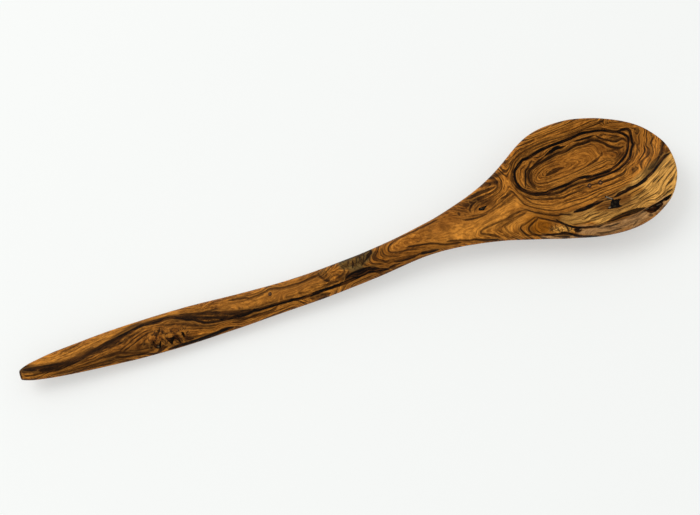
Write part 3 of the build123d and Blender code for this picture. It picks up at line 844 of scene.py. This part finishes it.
def ringNumbers(pixels):
    # the growth ring at each pixel: a smooth field through the traced lines
    places, rings = [], []
    for ring, width, dark, line in tracedLines:
        if ring is not None:
            curve = rounded(line)
            lengths = alongCurve(curve)
            at = np.linspace(0, lengths[-1], max(2, int(lengths[-1] / ringField["spacing"]) + 1))
            places.append(np.stack([np.interp(at, lengths, side) for side in curve.T], 1))
            rings.append(np.full(len(at), float(ring)))
    places, rings = np.vstack(places), np.concatenate(rings)
    middle, size = places.mean(0), len(places)

    def kernel(spots):
        gap = spots[:, None, :] - places[None, :, :]
        return np.sqrt((gap ** 2).sum(2) + ringField["reach"] ** 2)

    def slope(spots):
        return np.hstack([np.ones((len(spots), 1)), (spots - middle) / ringField["unit"]])

    system = np.zeros((size + 3, size + 3))
    system[:size, :size] = kernel(places) - ringField["ease"] * np.eye(size)
    system[:size, size:] = slope(places)
    system[size:, :size] = slope(places).T
    weights = np.linalg.solve(system, np.concatenate([rings, np.zeros(3)]))
    print("growth rings held at", size, "places")
    parts = np.array_split(pixels, math.ceil(len(pixels) / ringField["portion"]))
    return np.concatenate([kernel(part) @ weights[:size] + slope(part) @ weights[size:] for part in parts])


def depthBehind(points):
    # how far each point lies behind the wood that the photograph shows, in metres
    behind = np.zeros(len(points))
    eye = Vector(eyePoint)
    for i, point in enumerate(points):
        ray = Vector(point) - eye
        hit = skinTree.ray_cast(eye, ray.normalized())[0]
        if hit is not None:
            behind[i] = max(0.0, ray.length - (hit - eye).length)
    return behind


def softNoise(points, scale, seed):
    # smooth noise from -1 to 1; each seed takes it from another place
    shift = np.array((17.3, 5.1, 9.7)) * seed
    return np.array([noise.noise(Vector(point)) for point in points * scale + shift])


def setMask(mesh, name, values):
    mask = mesh.attributes.new(name, "FLOAT", "POINT")
    mask.data.foreach_set("value", np.asarray(values, np.float32))


def figureSkin():
    mesh, wood = skin.data, woodSkin
    points = vertexValues(mesh, "co")
    pixels = toPhoto(points)
    behind = depthBehind(points)
    hidden = np.clip((behind - wood["hiddenFrom"]) / wood["hiddenOver"], 0, 1)
    veins, tones, across, run = drawVeins(pixels)
    veins = veins * (1 - hidden)
    masks = {"ring": ringNumbers(pixels) - ringField["perMillimetre"] * 1000 * behind, "hidden": hidden,
             "vein": veins, "veinTone": tones, "veinAcross": across, "veinRun": run}
    zones = {name: drawZone(pixels, strokes) for name, strokes in colourZones.items()}
    for name, values in masks.items():
        setMask(mesh, name, values)
    for name, values in zones.items():
        setMask(mesh, name, values * (1 - wood["zoneFade"] * hidden))
    pits = np.clip(softNoise(points, wood["burrScale"], 2), 0, 1) * zones["burr"] * (1 - hidden)
    marks = softNoise(points, wood["toolScale"], 1)
    relief = wood["toolMarks"] * marks - wood["burrDepth"] * pits
    relief -= wood["veinDepth"] * np.clip(2 * (veins - wood["veinFrom"]), 0, 1)
    movePoints(mesh, points + vertexValues(mesh, "normal") * relief[:, None])


figureSkin()
print("grain drawn")

# The wood's fine figure
# Each pattern: its noise's scale, detail and roughness, where it begins and where it is full.
fineFigure = {
    "driftStretch": (90, 300, 300),      # how the rings waver
    "driftNoise": (1.0, 3.0),            # its scale and detail
    "drift": 5.0,
    "bands": (0.16, 2.0, 0.60, 0.38, 0.62),
    "lines": (0.42, 2.0, 0.65, 0.545, 0.582),
    "linePatches": (1.0, 2.0, 0.5, 0.26, 0.50),
    "linePatchStretch": (60, 160, 160),
    "hairs": (0.95, 2.0, 0.60, 0.555, 0.595),
    "hairShift": 61.0,
    "hairPatches": (1.0, 3.0, 0.5, 0.32, 0.52),
    "hairPatchStretch": (110, 260, 260),
    "alongStretch": (0.9, 260.0, 120.0),  # per ring, and per metre along the spoon and across it
    "fibres": (1.3, 4.0, 0.75, 0.40, 0.60),
    "dashes": (1.05, 3.0, 0.60, 0.53, 0.60),
    "dashStretch": (1.9, 0.5, 0.65),      # thinner across the grain and longer along it than the fibres
    "pores": (3.1, 1.0, 0.40, 0.64, 0.72),
}
crispEdges = {
    "raggedScale": (900.0, 3.0, 0.6),
    "line": (0.47, 0.555),
    "strandStretch": (0.62, 0.055),
    "strands": (1.0, 2.0, 0.6, 0.53, 0.62),
    "halo": (0.20, 0.56),
    "paleEdge": (0.14, 0.30, 0.34, 0.46),
}
spotFigure = {
    "pits": (3.0, 0.62),
    "swirl": 0.8,
    "pitEdges": (0.51, 0.57),
    "mottleShare": 0.42,
    "mottleEdges": (0.40, 0.60),
}
sheenFigure = {
    "patches": (70.0, 3.0, 0.5, 0.3, 0.7),
    "unevenness": (700.0, 3.0, 0.6),
}
fleckFigure = {
    "rarest": 0.78,
    "spread": 0.2,
    "sharpness": 14.0,
}


def newGroup(name, inputs, outputs):
    group = bpy.data.node_groups.new(name, "ShaderNodeTree")
    for socketName, value in inputs.items():
        kind = "NodeSocketVector" if value is None else "NodeSocketFloat"
        socket = group.interface.new_socket(socketName, in_out="INPUT", socket_type=kind)
        if value is not None:
            socket.default_value = value
    for socketName in outputs:
        group.interface.new_socket(socketName, in_out="OUTPUT", socket_type="NodeSocketFloat")
    return group, group.nodes.new("NodeGroupInput").outputs, group.nodes.new("NodeGroupOutput").inputs


def useGroup(tree, group, **values):
    made = tree.nodes.new("ShaderNodeGroup")
    made.node_tree = group
    for name, value in values.items():
        feed(tree, made.inputs[name], value)
    return made.outputs


def combined(tree, *values):
    made = addNode(tree, "CombineXYZ")
    for socket, value in zip(made.inputs, values):
        feed(tree, socket, value)
    return made.outputs[0]


def makeFineGrain():
    # what olive wood shows between its veins: bands, thin dark lines, hairlines, fibres and pores,
    # all running along the growth rings
    group, given, result = newGroup("fineGrain", {"Ring": 0.0, "Place": None, "Waver": 0.45},
                                    ["Bands", "Lines", "Hairs", "Fibres", "Pores", "Dashes"])
    look, place = fineFigure, given["Place"]
    wander = noised(group, scaled(group, place, look["driftStretch"]), *look["driftNoise"])
    drift = worked(group, "SUBTRACT", wander, 0.5)
    ring = worked(group, "MULTIPLY_ADD", drift, times(group, given["Waver"], look["drift"]), given["Ring"])
    feed(group, result["Bands"], patterned(group, ring, look["bands"], "1D"))
    patches = patterned(group, scaled(group, place, look["linePatchStretch"]), look["linePatches"])
    feed(group, result["Lines"], times(group, patterned(group, ring, look["lines"], "1D"), patches))
    patches = patterned(group, scaled(group, place, look["hairPatchStretch"]), look["hairPatches"])
    shifted = worked(group, "ADD", ring, look["hairShift"])
    feed(group, result["Hairs"], times(group, patterned(group, shifted, look["hairs"], "1D"), patches))
    split = addNode(group, "SeparateXYZ")
    feed(group, split.inputs[0], place)
    along = scaled(group, combined(group, ring, split.outputs[0], split.outputs[1]), look["alongStretch"])
    feed(group, result["Fibres"], patterned(group, along, look["fibres"], soft="LINEAR"))
    feed(group, result["Dashes"], patterned(group, scaled(group, along, look["dashStretch"]), look["dashes"]))
    feed(group, result["Pores"], patterned(group, along, look["pores"]))
    return group


def makeCrispVeins():
    # a soft field drawn on the mesh, turned into lines with sharp, slightly ragged edges
    group, given, result = newGroup("crispVeins",
                                    {"Field": 0.0, "Across": 0.0, "Run": 0.0, "Place": None, "Ragged": 0.12},
                                    ["Line", "Strands", "Halo", "PaleEdge"])
    look = crispEdges
    rough = worked(group, "SUBTRACT", noised(group, given["Place"], *look["raggedScale"]), 0.5)
    field = worked(group, "MULTIPLY_ADD", rough, given["Ragged"], given["Field"])
    feed(group, result["Line"], between(group, field, *look["line"]))
    # a vein is a bundle of strands that run with it, join and part again
    strand = scaled(group, combined(group, given["Across"], given["Run"]), (*look["strandStretch"], 1))
    feed(group, result["Strands"], patterned(group, strand, look["strands"]))
    feed(group, result["Halo"], between(group, field, *look["halo"]))
    inner = lessWhere(group, between(group, field, *look["paleEdge"][2:]), 1.0)
    feed(group, result["PaleEdge"], times(group, between(group, field, *look["paleEdge"][:2]), inner))
    return group


def makePittedSpots():
    # small dark pits and swirls, as in end grain and burr
    group, given, result = newGroup("pittedSpots", {"Place": None, "Scale": 620.0}, ["Pits", "Mottle"])
    look = spotFigure
    pits = noised(group, given["Place"], given["Scale"], *look["pits"], distortion=look["swirl"])
    feed(group, result["Pits"], between(group, pits, *look["pitEdges"]))
    wide = noised(group, given["Place"], times(group, given["Scale"], look["mottleShare"]))
    feed(group, result["Mottle"], between(group, wide, *look["mottleEdges"]))
    return group


def makeOiledSheen():
    # rubbed oil: patches that shine more and less, and the faint unevenness of a hand-sanded face
    group, given, result = newGroup("oiledSheen", {"Place": None, "Dull": 0.55, "Bright": 0.35},
                                    ["Roughness", "Height"])
    patches = patterned(group, given["Place"], sheenFigure["patches"])
    spread = worked(group, "SUBTRACT", given["Bright"], given["Dull"])
    feed(group, result["Roughness"], worked(group, "MULTIPLY_ADD", patches, spread, given["Dull"]))
    feed(group, result["Height"], noised(group, given["Place"], *sheenFigure["unevenness"]))
    return group


def makePaleFlecks():
    # specks of dust, chips and light caught in a rough dark fill
    group, given, result = newGroup("paleFlecks", {"Place": None, "Scale": 500.0, "Amount": 0.5}, ["Mask"])
    edge = worked(group, "MULTIPLY_ADD", given["Amount"], -fleckFigure["spread"], fleckFigure["rarest"])
    over = worked(group, "SUBTRACT", noised(group, given["Place"], given["Scale"]), edge)
    feed(group, result["Mask"], worked(group, "MULTIPLY", over, fleckFigure["sharpness"], clamp=True))
    return group


fineGrain = makeFineGrain()
crispVeins = makeCrispVeins()
pittedSpots = makePittedSpots()
oiledSheen = makeOiledSheen()
paleFlecks = makePaleFlecks()


def attribute(tree, name):
    return addNode(tree, "Attribute", attribute_name=name).outputs["Fac"]


def oiled(tree, surface, look, place, colour):
    # rubbed oil over a colour; it gives back how uneven the face is
    feed(tree, surface.inputs["Base Color"], colour)
    surface.inputs["Specular IOR Level"].default_value = look["specular"]
    sheen = useGroup(tree, oiledSheen, Place=place, Dull=look["dull"], Bright=look["bright"])
    feed(tree, surface.inputs["Roughness"], sheen["Roughness"])
    return sheen["Height"]


def bumped(tree, surface, look, height):
    bump = addNode(tree, "Bump")
    bump.inputs["Distance"].default_value = look["relief"]
    feed(tree, bump.inputs["Height"], height)
    feed(tree, surface.inputs["Normal"], bump.outputs[0])


# Olive wood
oliveWood = {
    "deep": (0.200, 0.061, 0.0045),
    "middle": (0.442, 0.143, 0.0126),
    "golden": (0.810, 0.312, 0.041),
    "brownAndShade": (0.40, 0.35, 0.34),    # what the browner wood and the painted shade let through of the colour
    "pale": (0.900, 0.400, 0.070),
    "sapwood": (0.980, 0.500, 0.110),
    # pale tan of the outer wall, also the colour of the painted highlights on it
    "paleWallAndHighlights": (0.590, 0.320, 0.128),
    "amber": (0.360, 0.110, 0.002),
    "greyed": (0.105, 0.064, 0.014),
    "greyLight": (0.200, 0.125, 0.038),
    "umber": (0.010, 0.004, 0.0015),
    "line": (0.016, 0.005, 0.0008),
    "pit": (0.030, 0.010, 0.003),
    "vein": (0.003, 0.0012, 0.0006),
    "veinBrown": (0.100, 0.032, 0.004),
    "zones": {"golden": 0.85, "sapwood": 0.9, "paleWallAndHighlights": 0.9, "amber": 0.85, "greyed": 0.8, "umber": 0.9},
    "strandStrength": 0.70,
    "fibreGlow": 0.66,
    "lineStrength": 0.80,
    "hairStrength": 0.85,
    "haloStrength": 0.33,
    "paleEdgeStrength": 0.14,
    "streakStrength": 0.15,
    "sapwoodStreaks": 0.30,
    "dashStrength": 0.80,
    "fibreStrength": 0.50,
    "poreStrength": 0.55,
    "mottleStrength": 0.26,
    "greyMottle": 0.50,
    "greyPits": 0.55,
    "burrMottle": 0.30,
    "burrPits": 0.88,
    "spotScale": 760.0,
    "farVeins": (0.11, 3.0, 0.7, 0.57, 0.62),
    "otherRings": 217.0,            # rings between the two sets of streaks
    "waver": (-0.35, 0.45),         # what sapwood adds to how the rings waver, and what they do anyway
    "otherWaver": (-0.55, 0.7),
    "calmBands": 0.6,
    "lineLoss": (0.9, 0.6),         # what calm wood and sapwood take from the lines
    "hairLoss": (0.75, 0.75),
    "fibreLoss": 0.5,               # what sapwood takes from the dark fibres
    "specular": 0.05,
    "dull": 0.55,
    "bright": 0.38,
    "relief": 0.000035,
}


def makeOliveWood():
    material, tree, surface = newMaterial("oliveWood")
    wood = oliveWood
    place = addNode(tree, "TexCoord").outputs["Object"]
    ring, hidden, sapwood, calm, greyed, burr, tone = (
        attribute(tree, name) for name in ("ring", "hidden", "sapwood", "calm", "greyed", "burr", "veinTone"))
    grain = useGroup(tree, fineGrain, Ring=ring, Place=place,
                     Waver=worked(tree, "MULTIPLY_ADD", sapwood, *wood["waver"]))
    # a second set of streaks: dense in the sapwood, thinner in the lively heartwood
    other = useGroup(tree, fineGrain, Ring=worked(tree, "ADD", ring, wood["otherRings"]), Place=place,
                     Waver=worked(tree, "MULTIPLY_ADD", sapwood, *wood["otherWaver"]))
    spots = useGroup(tree, pittedSpots, Place=place, Scale=wood["spotScale"])
    drawn = useGroup(tree, crispVeins, Field=attribute(tree, "vein"), Across=attribute(tree, "veinAcross"),
                     Run=attribute(tree, "veinRun"), Place=place)
    bands = worked(tree, "MAXIMUM", grain["Bands"], times(tree, calm, wood["calmBands"]))
    colour = tinted(tree, bands, wood["deep"], wood["middle"])
    colour = tinted(tree, times(tree, grain["Fibres"], wood["fibreGlow"]), colour, wood["golden"])
    for zone, strength in wood["zones"].items():
        colour = tinted(tree, times(tree, attribute(tree, zone), strength), colour, wood[zone])
    # browner wood, and painted shade on the lower sides of the neck and handle, multiplied over the colour
    colour = tinted(tree, attribute(tree, "brownAndShade"), colour, wood["brownAndShade"], "MULTIPLY")
    dense = worked(tree, "MAXIMUM", times(tree, sapwood, wood["sapwoodStreaks"]),
                   times(tree, lessWhere(tree, calm, 1.0), wood["streakStrength"]))
    plain = lessWhere(tree, worked(tree, "MAXIMUM", greyed, burr), 1.0)

    def lively(loss):
        return times(tree, lessWhere(tree, calm, loss[0]), lessWhere(tree, sapwood, loss[1]))

    # every mark over the plain wood, from the lowest up: how strong it is, and its colour
    marks = [
        (times(tree, grain["Lines"], wood["lineStrength"], lively(wood["lineLoss"])), "line"),
        (times(tree, grain["Hairs"], wood["hairStrength"], lively(wood["hairLoss"])), "line"),
        (times(tree, worked(tree, "MAXIMUM", other["Lines"], other["Hairs"]), dense), "line"),
        (times(tree, other["Dashes"], sapwood, wood["dashStrength"]), "line"),
        (times(tree, lessWhere(tree, grain["Fibres"], 1.0), wood["fibreStrength"],
               lessWhere(tree, sapwood, wood["fibreLoss"])), "line"),
        (times(tree, grain["Pores"], wood["poreStrength"]), "veinBrown"),
        (times(tree, calm, spots["Mottle"], wood["mottleStrength"]), "deep"),
        (times(tree, greyed, spots["Mottle"], wood["greyMottle"]), "greyLight"),
        (times(tree, greyed, spots["Pits"], wood["greyPits"]), "vein"),
        (times(tree, burr, spots["Mottle"], wood["burrMottle"]), "golden"),
        (times(tree, burr, spots["Pits"], wood["burrPits"]), "pit"),
        (times(tree, drawn["Halo"], tone, wood["haloStrength"]), "line"),
        (times(tree, drawn["PaleEdge"], tone, wood["paleEdgeStrength"], plain), "pale"),
    ]
    for strength, name in marks:
        colour = tinted(tree, strength, colour, wood[name])
    # the dark veins, with the painted shade along the near rim: drawn where the photograph shows them, and
    # along the same rings out of its sight
    farVeins = times(tree, patterned(tree, ring, wood["farVeins"], "1D"), hidden)
    veins = worked(tree, "MAXIMUM", times(tree, drawn["Line"], tone), farVeins)
    strands = times(tree, drawn["Strands"], wood["strandStrength"])
    colour = tinted(tree, veins, colour, tinted(tree, strands, wood["vein"], wood["veinBrown"]))
    height = worked(tree, "ADD", oiled(tree, surface, wood, place, colour), grain["Fibres"])
    bumped(tree, surface, wood, worked(tree, "SUBTRACT", height, veins))
    skin.data.materials.clear()
    skin.data.materials.append(material)


makeOliveWood()
print("olive wood made")

# What is let into the wood
blackFill = {
    "base": (0.003, 0.002, 0.002),
    "cast": (0.005, 0.003, 0.002),
    "clouds": (800.0, 2.0, 0.5, 0.4, 0.65),
    "tint": (0.022, 0.017, 0.008),
    # colour of the pale flecks and of the painted glints
    "light": (0.27, 0.20, 0.13),
    "stretch": (1.0, 1.0, 1.0),
    "flecks": (2400.0, 0.45, 0.15),     # their scale, how many there are and how strong
    "bumps": (1600.0, 3.0, 0.6),
    "specular": 0.03,
    "dull": 0.50,
    "bright": 0.25,
    "relief": 0.00008,
}
knotWood = {
    "base": (0.010, 0.004, 0.002),
    "cast": (0.045, 0.014, 0.003),
    "clouds": (1500.0, 2.0, 0.5, 0.4, 0.65),
    "tint": (0.045, 0.014, 0.003),
    "light": (0.430, 0.190, 0.050),
    "stretch": (1.0, 1.0, 1.0),
    "flecks": (2400.0, 0.45, 0.0),
    "bumps": (2600.0, 2.0, 0.5),
    "specular": 0.15,
    "dull": 0.55,
    "bright": 0.40,
    "relief": 0.00004,
}
barkFilling = {
    "base": (0.004, 0.002, 0.001),
    "cast": (0.026, 0.010, 0.003),
    "clouds": (1100.0, 3.0, 0.6, 0.50, 0.68),
    "tint": (0.080, 0.022, 0.004),
    # colour of the pale flecks and chips, and of the painted glint
    "light": (0.27, 0.19, 0.11),
    "stretch": (0.6, 1.4, 1.4),
    "flecks": (1800.0, 0.4, 0.15),
    "bumps": (1300.0, 3.0, 0.65),
    "specular": 0.03,
    "dull": 0.80,
    "bright": 0.50,
    "relief": 0.00015,
}


def makeFilling(name, look):
    material, tree, surface = newMaterial(name)
    place = addNode(tree, "TexCoord").outputs["Object"]
    stretched = scaled(tree, place, look["stretch"])
    colour = tinted(tree, patterned(tree, stretched, look["clouds"]), look["base"], look["cast"])
    colour = tinted(tree, attribute(tree, "tint"), colour, look["tint"])
    scale, amount, strength = look["flecks"]
    flecks = useGroup(tree, paleFlecks, Place=stretched, Scale=scale, Amount=amount)
    colour = tinted(tree, times(tree, flecks["Mask"], strength), colour, look["light"])
    # pale marks from the light mask: painted glints on the black fills and rim bark, pale chips, and the pale
    # cores of the pin knots
    colour = tinted(tree, attribute(tree, "light"), colour, look["light"])
    oiled(tree, surface, look, place, colour)
    bumped(tree, surface, look, noised(tree, stretched, *look["bumps"]))
    return material


def pinOutline(across, down, breadth, height):
    turns = [math.radians(45 * i) for i in range(8)]
    return [(across + breadth * math.cos(turn), down + height * math.sin(turn)) for turn in turns]


inlayShape = {
    "spacing": 0.5,          # pixels
    "lift": 0.00004,         # metres over the skin, so that a fill is flush but covers it
    "dome": 0.00006,
    "domeReach": 2.0,        # pixels in from the edge
    "rim": 0.01,             # pixels from the edge, within which a point belongs to it
    "skirt": 0.0007,
    "dents": 0.00005,
    "dentScale": 1500,
    "clear": 0.6,            # spacings between its edge and its inner points
    "searches": 37,          # steps in from a pixel that misses the wood
    "farthest": 0.9,
}
# Each piece: its outlines and its marks in the photograph's pixels, as (width, softness, strength, line).
bowlFill = {
    "node": "bowl_knot_fill",
    "slot": "black_fill",
    "outlines": [[(604.2, 196), (606, 195.6), (609, 196.8), (612.5, 197.8), (614, 199.3), (617, 198.9),
                  (621.2, 198.6), (619.8, 201.2), (619.5, 204), (622.2, 206.2), (619, 207.6), (616, 208.3),
                  (612, 209), (609, 209.3), (607, 208.8), (608.8, 206.8), (610.2, 205), (610.5, 202),
                  (611.5, 200.6), (608, 198.8), (605.5, 197.6)]],
    # a painted glint along the star's left arm, and a pale speck at its lower tip
    "light": [(1.1, 0.8, 0.9, [(606.4, 197), (609, 197.8), (611.8, 198.9)]),
              (1.2, 0.8, 0.8, [(609.2, 207.6), (610.2, 207.4)])],
    "tint": [(1.6, 1.2, 0.9, [(611.8, 203.8), (612.3, 204.4)]), (1.6, 1.2, 0.8, [(615, 202), (615.6, 202.4)]),
             (1.8, 1.2, 0.8, [(614.2, 206.5), (615.2, 206.3)])],
}
neckFill = {
    "node": "neck_knot_fill",
    "slot": "black_fill",
    "outlines": [[(478.6, 207.8), (481, 207.3), (484, 206), (487.8, 205.2), (485.6, 208), (484.3, 210.2),
                  (482, 210.8), (478.6, 210.6)]],
    # a faint painted glint in the middle of the fill
    "light": [(0.6, 0.6, 0.2, [(480.6, 208.8), (482, 208.4)])],
    "tint": [(1.2, 0.8, 0.6, [(483, 208.4), (484.2, 207.4)])],
}
bowlPins = {
    "node": "bowl_pin_knots",
    "slot": "knot_wood",
    "outlines": [pinOutline(600.5, 182.55, 2.5, 2.65), pinOutline(589.5, 185.55, 2.4, 2.45)],
    "light": [(1.2, 1.2, 0.9, [(600.3, 182.5), (600.7, 182.6)]),
              (1.1, 1.2, 0.8, [(589.4, 185.5), (589.8, 185.6)])],
    "tint": [],
}
handlePin = {
    "node": "handle_pin_knot",
    "slot": "knot_wood",
    "outlines": [pinOutline(270, 294.05, 2.0, 2.15)],
    "light": [(1.2, 1.0, 0.3, [(269.8, 293.8), (270.2, 294)])],
    "tint": [],
}
barkPockets = {
    "node": "handle_bark_pockets",
    "slot": "bark",
    "outlines": [[(152.6, 340.6), (154.4, 341.6), (155.6, 343.4), (157.2, 344.6), (158.6, 344.4),
                  (159.4, 342.2), (160.4, 340.2), (161.4, 342.4), (161.6, 345.6), (160.8, 348), (158, 349),
                  (155.4, 348), (153.4, 345.4)],
                 [(165.8, 337.4), (168.6, 337.6), (171.4, 337), (174, 335.6), (177, 335.2), (178.2, 337),
                  (180, 339.6), (181.4, 342.6), (180.2, 343.2), (178.2, 341), (176.4, 339.2), (174.8, 339.4),
                  (173.6, 341.4), (173, 344.2), (171.4, 344.6), (169, 342.2), (166.6, 339.8)],
                 [(182, 331.6), (184, 332.4), (185, 335), (184.8, 337.4), (183.4, 337.6), (182.6, 335.6),
                  (181.4, 334)]],
    "light": [(1.2, 1.4, 0.45, [(158.2, 346.4), (158.6, 346.8)])],
    "tint": [(1.6, 1.4, 0.5, [(168, 338.8), (170, 339.4)]), (1.2, 1.2, 0.6, [(175, 336.4), (177.4, 338)]),
             (1.2, 1.2, 0.6, [(154.6, 344), (156, 346.4)])],
}
rimBark = {
    "node": "rim_bark_pocket",
    "slot": "bark",
    "outlines": [[(672, 193.5), (671.3, 196.5), (668.5, 199.5), (666, 201.2), (664.5, 200.9), (662.8, 202.3),
                  (663.6, 204), (661.5, 206.8), (658.5, 209.6), (655.5, 212), (652.5, 213.2), (649, 213),
                  (646, 211.5), (643, 210.5), (645.5, 208.6), (649, 206.4), (653, 204.4), (657, 202.3),
                  (661, 199.8), (665, 197), (669, 194.8)]],
    # a painted glint along the upper strip, and pale chips to its left
    "light": [(0.5, 0.7, 0.5, [(656.8, 205.4), (659, 204.5), (660.8, 203.7)]),
              (0.5, 0.6, 0.3, [(651, 207.6), (653, 207.3)]), (0.5, 0.6, 0.4, [(646, 209.4), (648.5, 208.2)])],
    "tint": [(1.6, 1.6, 0.6, [(645, 210.8), (649, 211.8), (653, 211.6)]),
             (1.0, 1.2, 0.5, [(650, 209), (655, 207.6)]), (1.0, 1.2, 0.5, [(660, 207), (664, 201.6)])],
}
carvedTree = BVHTree.FromObject(skin, bpy.context.evaluated_depsgraph_get())


def onSkin(spot, middle):
    # the skin under a pixel, or else the nearest on the way to the middle of its piece
    eye = Vector(eyePoint)
    for share in np.linspace(0, inlayShape["farthest"], inlayShape["searches"]):
        hit, normal = carvedTree.ray_cast(eye, photoRay(spot + share * (middle - spot)))[:2]
        if hit is not None:
            return hit, normal
    hit = carvedTree.ray_cast(eye, photoRay(middle))[0]
    return carvedTree.find_nearest(hit or Vector(photoView["target"]))[:2]


def filledOutline(outline):
    # an outline cut into small triangles: its pixels, the triangles, how far each pixel lies from the edge,
    # and the middle
    spacing = inlayShape["spacing"]
    loop = np.array(outline[-1:] + outline + outline[:2], float)
    curve = np.array(smoothCurve(loop, spacing, least=2))
    closed = np.vstack([curve, curve[:1]])
    low, high = curve.min(0), curve.max(0)
    grid = np.stack(np.meshgrid(np.arange(low[0], high[0], spacing),
                                np.arange(low[1], high[1], spacing)), 2).reshape(-1, 2)
    inside = np.abs(strokeDistance(grid, closed)[0]) > inlayShape["clear"] * spacing
    rim = [(i, (i + 1) % len(curve)) for i in range(len(curve))]
    made = delaunay_2d_cdt([Vector(spot) for spot in np.vstack([curve, grid[inside]])], rim, [], 1, 1e-6)
    spots = np.array([list(spot) for spot in made[0]])
    return spots, [list(face) for face in made[2]], np.abs(strokeDistance(spots, closed)[0]), curve.mean(0)


def raised(hit, normal, depth):
    # a point of a fill: a low dome with dents, its edge just under the skin
    shape = inlayShape
    rounding = min(depth / shape["domeReach"], 1)
    dent = noise.noise(hit * shape["dentScale"]) * shape["dents"] * rounding
    rise = shape["lift"] + shape["dome"] * rounding * (2 - rounding) + dent
    return hit + normal * (-shape["lift"] if depth < shape["rim"] else rise)


def addInlay(piece, material):
    places, faces, pixels = [], [], []
    for outline in piece["outlines"]:
        spots, triangles, inward, centre = filledOutline(outline)
        start = len(places)
        hits = [onSkin(spot, centre) for spot in spots]
        places.extend(raised(*hit, depth) for hit, depth in zip(hits, inward))
        pixels.extend(spots)
        sides = {side for face in triangles for side in zip(face, face[1:] + face[:1])}
        border = sorted(side for side in sides if side[::-1] not in sides)
        under = {}
        for corner in sorted({corner for side in border for corner in side}):
            under[corner] = len(places)
            places.append(places[start + corner] - hits[corner][1] * inlayShape["skirt"])
            pixels.append(spots[corner])
        middle = len(places)
        places.append(sum((places[i] for i in under.values()), Vector()) / len(under))
        pixels.append(spots.mean(0))
        faces.extend([start + corner for corner in face] for face in triangles)
        for a, b in border:
            faces.append([start + b, start + a, under[a], under[b]])
            faces.append([under[b], under[a], middle])
    mesh = bpy.data.meshes.new(piece["node"])
    mesh.from_pydata([tuple(place) for place in places], [], faces)
    smoothShaded(mesh)
    for name in ("light", "tint"):
        setMask(mesh, name, drawZone(np.array(pixels), piece[name]))
    inlay = addObject(piece["node"] + ".set", mesh)
    if mesh.polygons[0].normal.dot(Vector(backAxis)) < 0:
        mesh.flip_normals()
    mesh.materials.append(material)
    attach(inlay, "root")
    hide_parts(piece["node"])
    print(piece["node"], len(mesh.polygons), "faces")


resin = makeFilling("blackFill", blackFill)
knotEnd = makeFilling("knotWood", knotWood)
darkBark = makeFilling("barkFilling", barkFilling)
for piece, material in ((bowlFill, resin), (neckFill, resin), (bowlPins, knotEnd), (handlePin, knotEnd),
                        (barkPockets, darkBark), (rimBark, darkBark)):
    addInlay(piece, material)
print("inlays set in")

print("scene ready")
